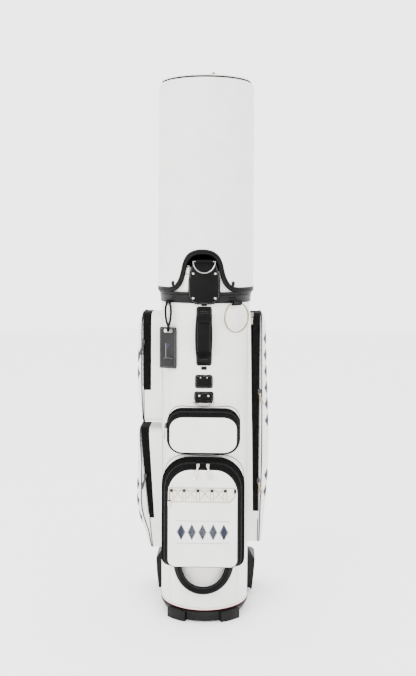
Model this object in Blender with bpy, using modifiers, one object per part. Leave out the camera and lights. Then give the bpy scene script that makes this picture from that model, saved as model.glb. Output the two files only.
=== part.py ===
"""Golf staff bag with a rigid travel hood, rear wheels and five zipped pockets.

Frame: metres, +Z up, origin on the floor under the bag's centre line. The bag's front, with the
carry handle and the large pocket, faces -Y, so its right-hand pocket is on +X.
"""
import math

import bmesh
import bpy
from mathutils import Matrix, Vector
from mathutils.geometry import interpolate_bezier

GAP = 0.0003            # clearance between touching pieces
COLLECTION = "golf_staff_bag"

# Body tube, from the moulded base to the collar
BODY_BOTTOM = 0.0243
BODY_TOP = 0.7337
BODY_R_BOTTOM = 0.1030
BODY_R_TOP = 0.1060
SKIN_WALL = 0.0017
TUBE_WALL = 0.0020

# Collar and cuff round the mouth
COLLAR_TOP = 0.7590
COLLAR_R = 0.1085
FLANGE_R = 0.1115
CUFF_R = 0.1065
CUFF_WALL = 0.0025
CUFF_TOP = 0.8080

# Travel hood
HOOD_R = 0.1145
HOOD_WALL = 0.0035
HOOD_BOTTOM = COLLAR_TOP + GAP
BINDING_WIDTH = 0.0095
BINDING_PROUD = 0.0007
BINDING_R_INNER = 0.1078
HOOD_TOP = 1.2575
LID_THICKNESS = 0.0045
ARCH_TOP = 0.8570
ARCH_AZIMUTH = -2.2     # the hood is worn turned slightly towards -X
SNAP_AZIMUTH = 37.4
SNAP_Z = 0.7785

# Base, wheels and their housings
BASE_TOP = BODY_BOTTOM - GAP
WHEEL_R = 0.0450
WHEEL_INNER = 0.0905
WHEEL_OUTER = 0.1085
AXLE_R = 0.0050
AXLE_Y = 0.1115
AXLE_Z = 0.0490

# Handle patch and the rings
PATCH_R = 0.1118
PATCH_THICKNESS = 0.0030
PATCH_TOP = 0.8340
WIRE_R = 0.0015
RING_BAR_Z = 0.8300
RING_BAR_Y = -0.1172
TOWEL_AZIMUTH = 40.0
TOWEL_RING_R = 0.0350
TAG_TURN = math.radians(25.0)
TAG_AZIMUTH = -47.0

# Side pockets run between these two depths, front to back
SIDE_FRONT_Y = -0.0300
SIDE_BACK_Y = 0.0850
POCKET_WALL = 0.0025

collection = None
cutters = None


# ---------------------------------------------------------------- scene and materials

def clear_scene():
    for item in list(bpy.data.objects):
        bpy.data.objects.remove(item, do_unlink=True)


def new_collection(name):
    made = bpy.data.collections.new(name)
    bpy.context.scene.collection.children.link(made)
    return made


def material(name, colour, roughness, metallic=0.0):
    made = bpy.data.materials.new(name)
    made.use_nodes = True
    shader = made.node_tree.nodes["Principled BSDF"]
    shader.inputs["Base Color"].default_value = (*colour, 1.0)
    shader.inputs["Roughness"].default_value = roughness
    shader.inputs["Metallic"].default_value = metallic
    made.diffuse_color = (*colour, 1.0)
    return made


def make_materials():
    return {
        "white_leather": material("white_leather", (0.82, 0.81, 0.79), 0.45),
        "black_leather": material("black_leather", (0.02, 0.02, 0.022), 0.5),
        "black_plastic": material("black_plastic", (0.015, 0.015, 0.016), 0.4),
        "white_shell": material("white_shell", (0.83, 0.83, 0.82), 0.4),
        "webbing": material("webbing", (0.018, 0.018, 0.02), 0.8),
        "chrome": material("chrome", (0.85, 0.84, 0.8), 0.12, 1.0),
        "tag_rubber": material("tag_rubber", (0.09, 0.09, 0.095), 0.6),
        "grey_lining": material("grey_lining", (0.2, 0.2, 0.21), 0.9),
        "tyre": material("tyre", (0.03, 0.03, 0.03), 0.7),
        "cream_lace": material("cream_lace", (0.78, 0.74, 0.66), 0.6),
    }


# ---------------------------------------------------------------- shapes

def add_object(name, mesh, mat=None, home=None):
    """Link a new object; without a material it is a hidden cutter."""
    obj = bpy.data.objects.new(name, mesh)
    (home or (collection if mat else cutters)).objects.link(obj)
    if mat:
        mesh.materials.append(mat)
    else:
        obj.hide_render = True
        obj.display_type = "WIRE"
    return obj


def evaluated_mesh(obj):
    """The object's mesh after its modifiers or curve settings, with its caps welded."""
    graph = bpy.context.evaluated_depsgraph_get()
    mesh = bpy.data.meshes.new_from_object(obj.evaluated_get(graph))
    bm = bmesh.new()
    bm.from_mesh(mesh)
    bmesh.ops.remove_doubles(bm, verts=bm.verts, dist=0.00001)
    bmesh.ops.recalc_face_normals(bm, faces=bm.faces)
    bm.to_mesh(mesh)
    bm.free()
    return mesh


def to_mesh_object(curve_object, mat=None):
    """Replace a curve object by a mesh object of the same name and place."""
    mesh = evaluated_mesh(curve_object)
    mesh.materials.clear()
    name = curve_object.name
    matrix = curve_object.matrix_world.copy()
    bpy.data.objects.remove(curve_object, do_unlink=True)
    obj = add_object(name, mesh, mat)
    obj.matrix_world = matrix
    return obj


def turned(name, profile, mat=None, steps=64):
    """A ring or disc: a closed (radius, z) profile, outer side top to bottom, turned about Z."""
    mesh = bpy.data.meshes.new(name)
    closed_on_axis = profile[0][0] == 0.0
    count = len(profile)
    edges = [(i, i + 1) for i in range(count - 1)]
    if not closed_on_axis:
        edges.append((count - 1, 0))
    mesh.from_pydata([(r, 0.0, z) for r, z in profile], edges, [])
    obj = add_object(name, mesh, mat)
    screw = obj.modifiers.new("turn", "SCREW")
    screw.steps = steps
    screw.render_steps = steps
    screw.use_merge_vertices = True
    screw.merge_threshold = 0.00001
    screw.use_normal_calculate = False
    return obj


def ring_profile(r_inner, r_outer, low, high):
    return [(r_outer, high), (r_outer, low), (r_inner, low), (r_inner, high)]


def outline_solid(name, points, low, high, frame, mat=None):
    """A flat outline in a frame's XY plane, filled and extruded from low to high along its Z."""
    curve = bpy.data.curves.new(name, "CURVE")
    curve.dimensions = "2D"
    curve.fill_mode = "BOTH"
    curve.extrude = (high - low) / 2
    spline = curve.splines.new("POLY")
    spline.points.add(len(points) - 1)
    for point, (x, y) in zip(spline.points, points):
        point.co = (x, y, 0.0, 1.0)
    spline.use_cyclic_u = True
    obj = bpy.data.objects.new(name, curve)
    cutters.objects.link(obj)
    obj.matrix_world = frame @ Matrix.Translation((0.0, 0.0, (low + high) / 2))
    bpy.context.view_layer.update()
    return to_mesh_object(obj, mat)


def lofted(name, outline, sections, frame, mat=None):
    """A closed outline carried along a frame's Z; each section is (z, x scale, y scale, y centre)."""
    bm = bmesh.new()
    rings = []
    for depth, scale_x, scale_y, centre in sections:
        rings.append([bm.verts.new((x * scale_x, centre + (y - centre) * scale_y, depth))
                      for x, y in outline])
    count = len(outline)
    for lower, upper in zip(rings, rings[1:]):
        for i in range(count):
            j = (i + 1) % count
            bm.faces.new((lower[i], lower[j], upper[j], upper[i]))
    bm.faces.new(list(reversed(rings[0])))
    bm.faces.new(rings[-1])
    bmesh.ops.recalc_face_normals(bm, faces=bm.faces)
    mesh = bpy.data.meshes.new(name)
    bm.to_mesh(mesh)
    bm.free()
    obj = add_object(name, mesh, mat)
    obj.matrix_world = frame
    return obj


def box(name, low, high, mat=None):
    low, high = Vector(low), Vector(high)
    mesh = bpy.data.meshes.new(name)
    bm = bmesh.new()
    bmesh.ops.create_cube(bm, size=1.0)
    bmesh.ops.scale(bm, vec=high - low, verts=bm.verts)
    bm.to_mesh(mesh)
    bm.free()
    obj = add_object(name, mesh, mat)
    obj.location = (low + high) / 2
    return obj


def cylinder(name, radius, start, end, mat=None, segments=24, end_radius=None):
    """A cylinder or cone between two points."""
    start, end = Vector(start), Vector(end)
    mesh = bpy.data.meshes.new(name)
    bm = bmesh.new()
    bmesh.ops.create_cone(bm, cap_ends=True, segments=segments, radius1=radius,
                          radius2=radius if end_radius is None else end_radius,
                          depth=(end - start).length)
    bm.to_mesh(mesh)
    bm.free()
    obj = add_object(name, mesh, mat)
    obj.location = (start + end) / 2
    obj.rotation_euler = (end - start).to_track_quat("Z", "Y").to_euler()
    return obj


def wire(name, points, radius, mat=None, cyclic=False, resolution=2):
    """A round wire or cord along a list of points."""
    curve = bpy.data.curves.new(name, "CURVE")
    curve.dimensions = "3D"
    curve.bevel_depth = radius
    curve.bevel_resolution = resolution
    curve.use_fill_caps = not cyclic
    spline = curve.splines.new("POLY")
    spline.points.add(len(points) - 1)
    for point, co in zip(spline.points, points):
        point.co = (*co, 1.0)
    spline.use_cyclic_u = cyclic
    obj = bpy.data.objects.new(name, curve)
    cutters.objects.link(obj)
    bpy.context.view_layer.update()
    return to_mesh_object(obj, mat)


def boolean(obj, tool, operation="DIFFERENCE"):
    modifier = obj.modifiers.new(operation.lower(), "BOOLEAN")
    modifier.operation = operation
    modifier.object = tool
    modifier.solver = "EXACT"
    return obj


def cut(obj, *tools):
    for tool in tools:
        boolean(obj, tool)
    return obj


def join(obj, *tools):
    for tool in tools:
        boolean(obj, tool, "UNION")
    return obj


def keep_inside(obj, *tools):
    for tool in tools:
        boolean(obj, tool, "INTERSECT")
    return obj


def bevel(obj, width, segments=2, angle=40.0):
    modifier = obj.modifiers.new("bevel", "BEVEL")
    modifier.width = width
    modifier.segments = segments
    modifier.limit_method = "ANGLE"
    modifier.angle_limit = math.radians(angle)
    return obj


def smooth(obj, angle=35.0):
    """Shade the mesh smooth and keep its sharp edges."""
    obj.data.shade_smooth()
    obj.data.set_sharp_from_angle(angle=math.radians(angle))
    return obj


def set_origin(obj, point):
    """Move the object's origin to a world point without moving its mesh."""
    bpy.context.view_layer.update()
    target = Matrix.Translation(Vector(point))
    obj.data.transform(target.inverted() @ obj.matrix_world)
    obj.matrix_world = target
    return obj


# ---------------------------------------------------------------- outlines and frames

def arc(centre_x, centre_y, radius, start, end, count):
    """Points on an arc, in degrees, both ends included."""
    points = []
    for i in range(count + 1):
        angle = math.radians(start + (end - start) * i / count)
        points.append((centre_x + radius * math.cos(angle), centre_y + radius * math.sin(angle)))
    return points


def rounded_outline(half_width, low, high, r_low, r_high, count=6):
    """A rounded rectangle, anticlockwise, with its own radius for lower and upper corners."""
    return (arc(half_width - r_low, low + r_low, r_low, -90, 0, count)
            + arc(half_width - r_high, high - r_high, r_high, 0, 90, count)
            + arc(-half_width + r_high, high - r_high, r_high, 90, 180, count)
            + arc(-half_width + r_low, low + r_low, r_low, 180, 270, count))


def shifted(points, dx):
    return [(x + dx, y) for x, y in points]


def bezier(start, handle_a, handle_b, end, count):
    """Points along a cubic curve in the plane."""
    corners = [Vector((x, y, 0.0)) for x, y in (start, handle_a, handle_b, end)]
    return [(p.x, p.y) for p in interpolate_bezier(*corners, count)]


def smooth_loop(points, steps):
    """A closed Catmull-Rom curve through points in space."""
    corners = [Vector(p) for p in points]
    count = len(corners)
    curve = []
    for i in range(count):
        p0, p1, p2, p3 = (corners[(i + k) % count] for k in (-1, 0, 1, 2))
        for j in range(steps):
            t = j / steps
            curve.append(0.5 * ((2 * p1) + (p2 - p0) * t + (2 * p0 - 5 * p1 + 4 * p2 - p3) * t ** 2
                                + (3 * p1 - p0 - 3 * p2 + p3) * t ** 3))
    return curve


def offset_inwards(points, distance):
    """Move an open polyline sideways, to the right of its direction of travel."""
    moved = []
    for i, (x, y) in enumerate(points):
        before = points[max(i - 1, 0)]
        after = points[min(i + 1, len(points) - 1)]
        along = Vector((after[0] - before[0], after[1] - before[1])).normalized()
        moved.append((x + along.y * distance, y - along.x * distance))
    return moved


def front_frame():
    """Outline X is world X, outline Y is world Z, and the extrusion runs out along -Y."""
    return Matrix(((1, 0, 0, 0), (0, 0, -1, 0), (0, 1, 0, 0), (0, 0, 0, 1)))


def side_frame():
    """Outline X is world -Y, outline Y is world Z, and the extrusion runs out along -X."""
    return Matrix(((0, 0, -1, 0), (-1, 0, 0, 0), (0, 1, 0, 0), (0, 0, 0, 1)))


def azimuth_frame(degrees):
    """The front frame turned about the bag's axis; positive angles turn towards +X."""
    return Matrix.Rotation(math.radians(degrees), 4, "Z") @ front_frame()


def around(degrees, radius, z, sideways=0.0):
    """A world point at an azimuth, with a tangential offset."""
    return azimuth_frame(degrees) @ Vector((sideways, z, radius))


def body_radius(z):
    share = (z - BODY_BOTTOM) / (BODY_TOP - BODY_BOTTOM)
    return BODY_R_BOTTOM + (BODY_R_TOP - BODY_R_BOTTOM) * share


# ---------------------------------------------------------------- shared cutters

def body_clearance():
    """A solid slightly larger than the body, which trims whatever is fixed to it."""
    low, high = -0.05, COLLAR_TOP
    profile = [(0.0, high), (body_radius(high) + GAP, high), (body_radius(low) + GAP, low), (0.0, low)]
    return turned("body_clearance", profile, steps=72)


def body_layer(name, inner, outer, mat=None):
    """A sleeve that follows the body between two offsets from its surface."""
    low, high = 0.03, BODY_TOP
    profile = [(body_radius(high) + outer, high), (body_radius(low) + outer, low),
               (body_radius(low) + inner, low), (body_radius(high) + inner, high)]
    return turned(name, profile, mat, steps=72)


# ---------------------------------------------------------------- base and wheels

def foot_outline(azimuth, half_angle, r_inner, r_outer):
    """A sector of a ring, centred on an azimuth from the front."""
    middle = azimuth - 90.0
    outer = arc(0, 0, r_outer, middle - half_angle, middle + half_angle, 6)
    inner = arc(0, 0, r_inner, middle + half_angle, middle - half_angle, 6)
    return outer + inner


def build_base(mats):
    floor_z, rim_inner = 0.0120, 0.0920
    profile = [(0.1035, BASE_TOP), (0.1035, 0.0200), (0.0960, 0.0070), (0.0910, 0.0045),
               (0.0000, 0.0045)]
    inside = [(0.0, floor_z), (rim_inner - 0.003, floor_z), (rim_inner, floor_z + 0.003),
              (rim_inner, BASE_TOP)]
    base = turned("base_shell", inside + profile, mats["black_plastic"], steps=72)
    pad = cylinder("base_pad", 0.022, (0, 0, 0), (0, 0, 0.008))
    parts = [pad]
    for azimuth in (-35.0, 35.0):
        foot = outline_solid(f"foot_{azimuth:.0f}", foot_outline(azimuth, 13.0, 0.080, 0.1130),
                             0.0, BASE_TOP - 0.002, Matrix.Identity(4))
        parts.append(foot)
    for azimuth in (-145.0, 145.0):
        foot = outline_solid(f"foot_{azimuth:.0f}", foot_outline(azimuth, 12.0, 0.060, 0.0930),
                             0.0, 0.0080, Matrix.Identity(4))
        parts.append(foot)
    front_bar = outline_solid("front_bar", foot_outline(0.0, 30.0, 0.085, 0.1060),
                              0.0030, BASE_TOP - 0.001, Matrix.Identity(4))
    parts.append(front_bar)
    lug = box("axle_lug", (-0.0866, 0.0600, 0.0050), (0.0866, 0.1190, 0.0225))
    carrier = box("axle_carrier", (-0.0866, 0.1040, 0.0060), (0.0866, 0.1190, 0.0650))
    join(base, *parts, lug, carrier)
    bore = cylinder("axle_bore", AXLE_R + GAP, (-0.13, AXLE_Y, AXLE_Z), (0.13, AXLE_Y, AXLE_Z))
    cut(base, bore)
    return bore


def build_axle(mats):
    axle = cylinder("axle", AXLE_R, (-0.1150, AXLE_Y, AXLE_Z), (0.1150, AXLE_Y, AXLE_Z),
                    mats["chrome"])
    smooth(axle)


def wheel_profile():
    """Outer side top to bottom, for an axis along Z; a soft tyre on a dished hub."""
    half = (WHEEL_OUTER - WHEEL_INNER) / 2
    bore = AXLE_R + 2 * GAP
    return [(WHEEL_R - 0.004, half), (WHEEL_R, half - 0.004), (WHEEL_R, -half + 0.004),
            (WHEEL_R - 0.004, -half), (WHEEL_R - 0.012, -half), (WHEEL_R - 0.014, -half + 0.005),
            (0.014, -half + 0.005), (0.012, -half), (bore, -half), (bore, half), (0.012, half),
            (0.014, half - 0.005), (WHEEL_R - 0.014, half - 0.005), (WHEEL_R - 0.012, half)]


def build_wheels(mats, axle_hole):
    middle = (WHEEL_INNER + WHEEL_OUTER) / 2
    for side, name in ((-1, "left"), (1, "right")):
        wheel = turned(f"wheel_{name}", wheel_profile(), mats["tyre"], steps=32)
        wheel.location = (side * middle, AXLE_Y, AXLE_Z)
        wheel.rotation_euler = (0.0, math.pi / 2, 0.0)
        build_housing(name, side, mats, axle_hole)


def housing_outline(radius, low):
    """The side view of a wheel arch: round on top, straight down to its lower edge."""
    top = arc(-AXLE_Y, AXLE_Z, radius, 0, 180, 16)
    return top + [(-AXLE_Y - radius * 0.86, low), (-AXLE_Y + radius * 0.86, low)]


def build_housing(name, side, mats, axle_hole):
    """A moulded arch over the wheel with an inner and an outer wall."""
    wall = 0.0025
    inner_face, outer_face = 0.0869, 0.1235
    radius = WHEEL_R + 0.0065
    low = 0.0120
    middle = (inner_face + outer_face) / 2
    frame = Matrix.Translation((side * middle, 0, 0)) @ side_frame()
    half = (outer_face - inner_face) / 2
    housing = outline_solid(f"wheel_housing_{name}", housing_outline(radius, low), -half, half,
                            frame, mats["black_plastic"])
    hollow_half = (0.1105 - inner_face - wall) / 2
    hollow_middle = inner_face + wall + hollow_half
    hollow_frame = Matrix.Translation((side * hollow_middle, 0, 0)) @ side_frame()
    hollow = outline_solid(f"wheel_space_{name}", housing_outline(radius - wall, low - 0.02),
                           -hollow_half, hollow_half, hollow_frame)
    slant = outline_solid(f"housing_slant_{name}",
                          [(side * 0.1128, -0.02), (side * 0.1235, 0.086), (side * 0.16, 0.086),
                           (side * 0.16, -0.02)], -0.20, 0.0, front_frame())
    shoulder = outline_solid(f"housing_shoulder_{name}",
                             [(side * 0.1085, 0.1018), (side * 0.1235, 0.0835),
                              (side * 0.16, 0.0835), (side * 0.16, 0.1018)],
                             -0.20, 0.0, front_frame())
    cut(housing, hollow, slant, shoulder, bpy.data.objects["body_clearance"], axle_hole)


# ---------------------------------------------------------------- body, collar and inside

def build_body(mats):
    skin_low, skin_high = BODY_BOTTOM, BODY_TOP
    turned("body_skin", [(BODY_R_TOP, skin_high), (BODY_R_BOTTOM, skin_low),
                         (BODY_R_BOTTOM - SKIN_WALL, skin_low),
                         (BODY_R_TOP - SKIN_WALL, skin_high)], mats["white_leather"], steps=72)
    outer = SKIN_WALL + GAP
    inner = outer + TUBE_WALL
    turned("body_tube", [(BODY_R_TOP - outer, skin_high), (BODY_R_BOTTOM - outer, skin_low),
                         (BODY_R_BOTTOM - inner, skin_low), (BODY_R_TOP - inner, skin_high)],
           mats["grey_lining"], steps=64)
    cylinder("base_board", 0.0970, (0, 0, BODY_BOTTOM), (0, 0, 0.0280), mats["grey_lining"],
             segments=64)


def collar_profile():
    bottom = BODY_TOP + GAP
    return [(FLANGE_R, COLLAR_TOP), (FLANGE_R, 0.7535), (0.1088, 0.7515), (0.1099, 0.7480),
            (COLLAR_R, 0.7445), (COLLAR_R, bottom), (0.0985, bottom), (0.0985, COLLAR_TOP)]


def build_mouth(mats):
    """The collar, the cuff above it and the divider that the club shafts drop through."""
    turned("collar_ring", collar_profile(), mats["black_plastic"], steps=72)
    low = COLLAR_TOP + GAP
    turned("cuff", ring_profile(CUFF_R - CUFF_WALL, CUFF_R, low, CUFF_TOP),
           mats["white_leather"], steps=72)
    divider = turned("divider_top", ring_profile(0.0990, 0.1037, low, 0.8050),
                     mats["black_plastic"], steps=64)
    reach, row = 0.1010, 0.0330
    wall_low, wall_high, half = 0.7750, 0.8000, 0.0020
    side_reach = math.sqrt(reach ** 2 - (row + half) ** 2)
    walls = [box("divider_long", (-half, -reach, wall_low), (half, reach, wall_high))]
    for y in (-row, row):
        walls.append(box(f"divider_cross_{y:.3f}", (-side_reach, y - half, wall_low),
                         (side_reach, y + half, wall_high)))
    join(divider, *walls)
    build_divider_walls(mats, row, wall_low - GAP)


def build_divider_walls(mats, row, high):
    """The full-length fabric partitions below the divider."""
    half, reach, low = 0.0008, 0.0965, 0.0283
    sheet = box("divider_walls", (-half, -reach, low), (half, reach, high), mats["grey_lining"])
    side_reach = math.sqrt(reach ** 2 - (row + half) ** 2)
    for y in (-row, row):
        join(sheet, box(f"partition_{y:.3f}", (-side_reach, y - half, low),
                        (side_reach, y + half, high)))


# ---------------------------------------------------------------- patches, rings and straps

def rivet(name, azimuth, sideways, z, seat, base, mat, head=0.0032):
    """A domed head proud of the seat, with its shaft run back to the base radius."""
    frame = azimuth_frame(azimuth)
    out = frame.to_3x3() @ Vector((0, 0, 1))
    point = frame @ Vector((sideways, z, 0))
    body = cylinder(name, head, point + out * (seat + GAP), point + out * (seat + 0.0018), mat,
                    segments=16, end_radius=head * 0.65)
    shaft = cylinder(f"{name}_shaft", 0.0012, point + out * base, point + out * (seat + 0.001),
                     segments=10)
    join(body, shaft)
    return cylinder(f"{name}_hole", 0.0012 + GAP, point + out * (base - 0.004),
                    point + out * (seat + 0.004), segments=10)


def d_ring_points(half_width, drop, count=20):
    """A straight bar with a half-round drop below it; the closed path starts at the bar."""
    points = [(-half_width * 0.5, 0.0), (0.0, 0.0), (half_width * 0.5, 0.0)]
    for i in range(count + 1):
        angle = math.pi * i / count
        points.append((half_width * math.cos(angle), -drop * math.sin(angle)))
    return points


def d_ring(name, half_width, drop, y, z, mat):
    path = [(x, y, z + dz) for x, dz in d_ring_points(half_width, drop)]
    ring = wire(name, path, WIRE_R, mat, cyclic=True)
    return set_origin(smooth(ring), (0, y, z))


def fold(name, half_width, y, z, radius):
    """The rolled leather edge round a ring's bar, and the bore that clears the bar."""
    roll = cylinder(f"{name}_roll", radius, (-half_width, y, z), (half_width, y, z))
    bore = cylinder(f"{name}_bore", WIRE_R + 2 * GAP, (-half_width - 0.01, y, z),
                    (half_width + 0.01, y, z), segments=16)
    return roll, bore


def build_handle_patch(mats):
    """The leather saddle over the collar, with four rivets and its lift ring."""
    outline = (arc(0.0230, 0.7450, 0.0140, -85, 0, 5) + [(0.0370, 0.7850)]
               + arc(0.0205, PATCH_TOP - 0.0100, 0.0100, 0, 90, 4)
               + arc(-0.0205, PATCH_TOP - 0.0100, 0.0100, 90, 180, 4) + [(-0.0370, 0.7850)]
               + arc(-0.0230, 0.7450, 0.0140, 180, 265, 5))
    patch = outline_solid("handle_patch", outline, 0.05, 0.16, front_frame(),
                          mats["black_leather"])
    sleeve = turned("patch_sleeve", ring_profile(PATCH_R, PATCH_R + PATCH_THICKNESS, 0.72, 0.85),
                    steps=72)
    keep_inside(patch, sleeve)
    roll, bore = fold("patch", 0.0200, RING_BAR_Y, RING_BAR_Z, 0.0040)
    join(patch, roll)
    cut(patch, bore)
    seat = PATCH_R + PATCH_THICKNESS
    for side, label in ((-1, "left"), (1, "right")):
        azimuth = math.degrees(math.asin(side * 0.0255 / seat))
        upper = rivet(f"patch_rivet_upper_{label}", azimuth, 0, 0.8020, seat, CUFF_R + GAP,
                      mats["chrome"])
        lower = rivet(f"patch_rivet_lower_{label}", azimuth, 0, 0.7455, seat, 0.1103,
                      mats["chrome"])
        cut(patch, upper, lower)
    d_ring("patch_ring", 0.0255, 0.0265, RING_BAR_Y, RING_BAR_Z, mats["chrome"])


def build_carry_handle(mats):
    """The padded strap on the upper front, bowed out to leave room for fingers."""
    low, high, half = 0.5905, 0.7260, 0.0185
    middle = (low + high) / 2
    outer = (bezier((0.1085, low), (0.1240, low + 0.010), (0.1300, middle - 0.03),
                    (0.1300, middle), 8)
             + bezier((0.1300, middle), (0.1300, middle + 0.03), (0.1240, high - 0.010),
                      (0.1085, high), 8)[1:])
    inner = (bezier((0.1035, high - 0.014), (0.1200, high - 0.018), (0.1230, middle + 0.03),
                    (0.1230, middle), 8)
             + bezier((0.1230, middle), (0.1230, middle - 0.03), (0.1200, low + 0.018),
                      (0.1035, low + 0.014), 8)[1:])
    outline = outer + [(0.1035, high)] + inner + [(0.1035, low)]
    handle = outline_solid("carry_handle", outline, -half, half, side_frame(),
                           mats["black_leather"])
    cut(handle, bpy.data.objects["body_clearance"])


def build_tabs(mats):
    """Two small leather tabs under the carry handle; the lower one holds a ring."""
    layer = body_layer("tab_layer", GAP, 0.0028)
    upper = outline_solid("upper_tab", rounded_outline(0.0205, 0.5380, 0.5690, 0.010, 0.010, 4),
                          0.05, 0.16, front_frame(), mats["black_leather"])
    keep_inside(upper, layer)
    lower = outline_solid("lower_tab", rounded_outline(0.0225, 0.5060, 0.5305, 0.006, 0.006, 4),
                          0.05, 0.16, front_frame(), mats["black_leather"])
    keep_inside(lower, layer)
    bar_y, bar_z = -0.1092, 0.5080
    roll, bore = fold("lower_tab", 0.0190, bar_y, bar_z, 0.0036)
    trimmed_roll = cut(roll, bpy.data.objects["body_clearance"])
    join(lower, trimmed_roll)
    cut(lower, bore)
    for side, label in ((-1, "left"), (1, "right")):
        seat = body_radius(0.52) + 0.0028
        azimuth = math.degrees(math.asin(side * 0.0105 / seat))
        cut(lower, rivet(f"tab_rivet_{label}", azimuth, 0, 0.5210, seat, seat - 0.0024,
                         mats["chrome"], head=0.0030))
        seat = body_radius(0.56) + 0.0028
        azimuth = math.degrees(math.asin(side * 0.0075 / seat))
        cut(upper, rivet(f"tab_stud_{label}", azimuth, 0, 0.5630, seat, seat - 0.0024,
                         mats["chrome"], head=0.0018))
    d_ring("lower_ring", 0.0235, 0.0100, bar_y, bar_z, mats["chrome"])


def hanging_loop(name, azimuth, radius, z, half_width, mat, thickness=0.0018, hole=0.0044):
    """A webbing loop under the collar; the ring or strap it carries hangs through it."""
    frame = azimuth_frame(azimuth)
    start = frame @ Vector((-half_width, z, radius))
    end = frame @ Vector((half_width, z, radius))
    reach = frame.to_3x3() @ Vector((0.01, 0, 0))
    loop = cylinder(name, hole + thickness, start, end, mat)
    tongue = lofted(f"{name}_tongue", [(-half_width, -0.0010), (half_width, -0.0010),
                                       (half_width, 0.0010), (-half_width, 0.0010)],
                    [(-0.02, 1, 1, 0), (0.0, 1, 1, 0)],
                    frame @ Matrix.Translation((0, z + hole + 0.0002, radius)))
    sleeve = turned(f"{name}_sleeve", ring_profile(COLLAR_R + GAP, 0.20, 0.70, 0.7409), steps=72)
    join(loop, tongue)
    keep_inside(loop, sleeve)
    cut(loop, cylinder(f"{name}_hole", hole, start - reach, end + reach))
    return loop


def build_towel_ring(mats):
    radius, z = 0.1160, 0.7340
    hanging_loop("towel_loop", TOWEL_AZIMUTH, radius, z, 0.0125, mats["webbing"])
    frame = azimuth_frame(TOWEL_AZIMUTH)
    centre = z + 0.0020 - TOWEL_RING_R
    path = [frame @ Vector((x, y + centre, radius)) for x, y in arc(0, 0, TOWEL_RING_R, 0, 350, 35)]
    ring = wire("towel_ring", path, WIRE_R, mats["chrome"], cyclic=True)
    set_origin(smooth(ring), around(TOWEL_AZIMUTH, radius, z))


def build_tag(mats):
    """The luggage tag on its strap loop."""
    radius, z = 0.1160, 0.7340
    hanging_loop("tag_loop", TAG_AZIMUTH, radius, z, 0.0034, mats["webbing"])
    frame = azimuth_frame(TAG_AZIMUTH)
    out = radius
    low, side, step = 0.6670, 0.0085, 0.0048
    route = [(0.0, z + 0.0012, out), (-0.0062, z - 0.0038, out), (-side, z - 0.0200, out - 0.0010),
             (-side, z - 0.0430, out - 0.0035), (-0.0050, low + 0.0080, out - step),
             (-0.0030, low + 0.0010, out - step * 0.8), (0.0, low, out),
             (0.0030, low + 0.0010, out + step * 0.8), (0.0050, low + 0.0080, out + step),
             (side, z - 0.0430, out + 0.0035), (side, z - 0.0200, out + 0.0010),
             (0.0062, z - 0.0038, out)]
    strap = wire("tag_strap", [frame @ p for p in smooth_loop(route, 3)], 0.0022,
                mats["black_leather"], cyclic=True)
    set_origin(smooth(strap), around(TAG_AZIMUTH, radius, z))
    facing = frame @ Matrix.Translation((0, 0, out)) @ Matrix.Rotation(TAG_TURN, 4, "Y")
    outline = rounded_outline(0.0215, 0.5800, 0.6760, 0.003, 0.003, 3)
    tag = outline_solid("luggage_tag", outline, -0.0017, 0.0017, facing, mats["tag_rubber"])
    slot = outline_solid("tag_slot", rounded_outline(0.0118, 0.6630, 0.6712, 0.0035, 0.0035, 3),
                         -0.01, 0.01, facing)
    cut(tag, slot)


def build_bottom_handle(mats):
    """The padded strap below the large pocket, standing off the body in the middle."""
    top = 0.1370
    outer = bezier((-0.0715, top), (-0.0725, 0.0930), (-0.0400, 0.0705), (0.0, 0.0705), 10)
    inner = bezier((-0.0500, top), (-0.0520, 0.1060), (-0.0300, 0.0880), (0.0, 0.0880), 10)
    right_outer = [(-x, y) for x, y in reversed(outer[:-1])]
    right_inner = [(-x, y) for x, y in inner[:-1]]
    outline = outer + right_outer + right_inner + list(reversed(inner))
    strap = outline_solid("bottom_handle", outline, 0.03, 0.16, front_frame(),
                          mats["black_leather"])
    sleeve = turned("strap_sleeve", ring_profile(0.0735, 0.0795, 0.05, 0.15), steps=72)
    sleeve.location = (0.0, -0.0462, 0.0)
    keep_inside(strap, sleeve)
    cut(strap, bpy.data.objects["body_clearance"])


# ---------------------------------------------------------------- front pockets

# name: half width, low, high, corner radii (low, high), split and front depth from the axis,
# shrink of the front face as (depth, x scale, z scale), and the height the face shrinks towards
FRONT_POCKETS = {
    "lower": dict(half=0.0935, low=0.1400, high=0.3840, r_low=0.018, r_high=0.060, split=0.1280,
                  front=0.1555, shoulder=(0.1500, 0.845, 0.900), face=(0.815, 0.875),
                  centre=0.1800),
    "upper": dict(half=0.0830, low=0.3920, high=0.4945, r_low=0.034, r_high=0.034, split=0.1220,
                  front=0.1400, shoulder=(0.1350, 0.955, 0.830), face=(0.935, 0.800),
                  centre=0.4145),
}


def front_outline(shape, inset):
    return rounded_outline(shape["half"] - inset, shape["low"] + inset, shape["high"] - inset,
                           shape["r_low"] - inset, shape["r_high"] - inset)


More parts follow.
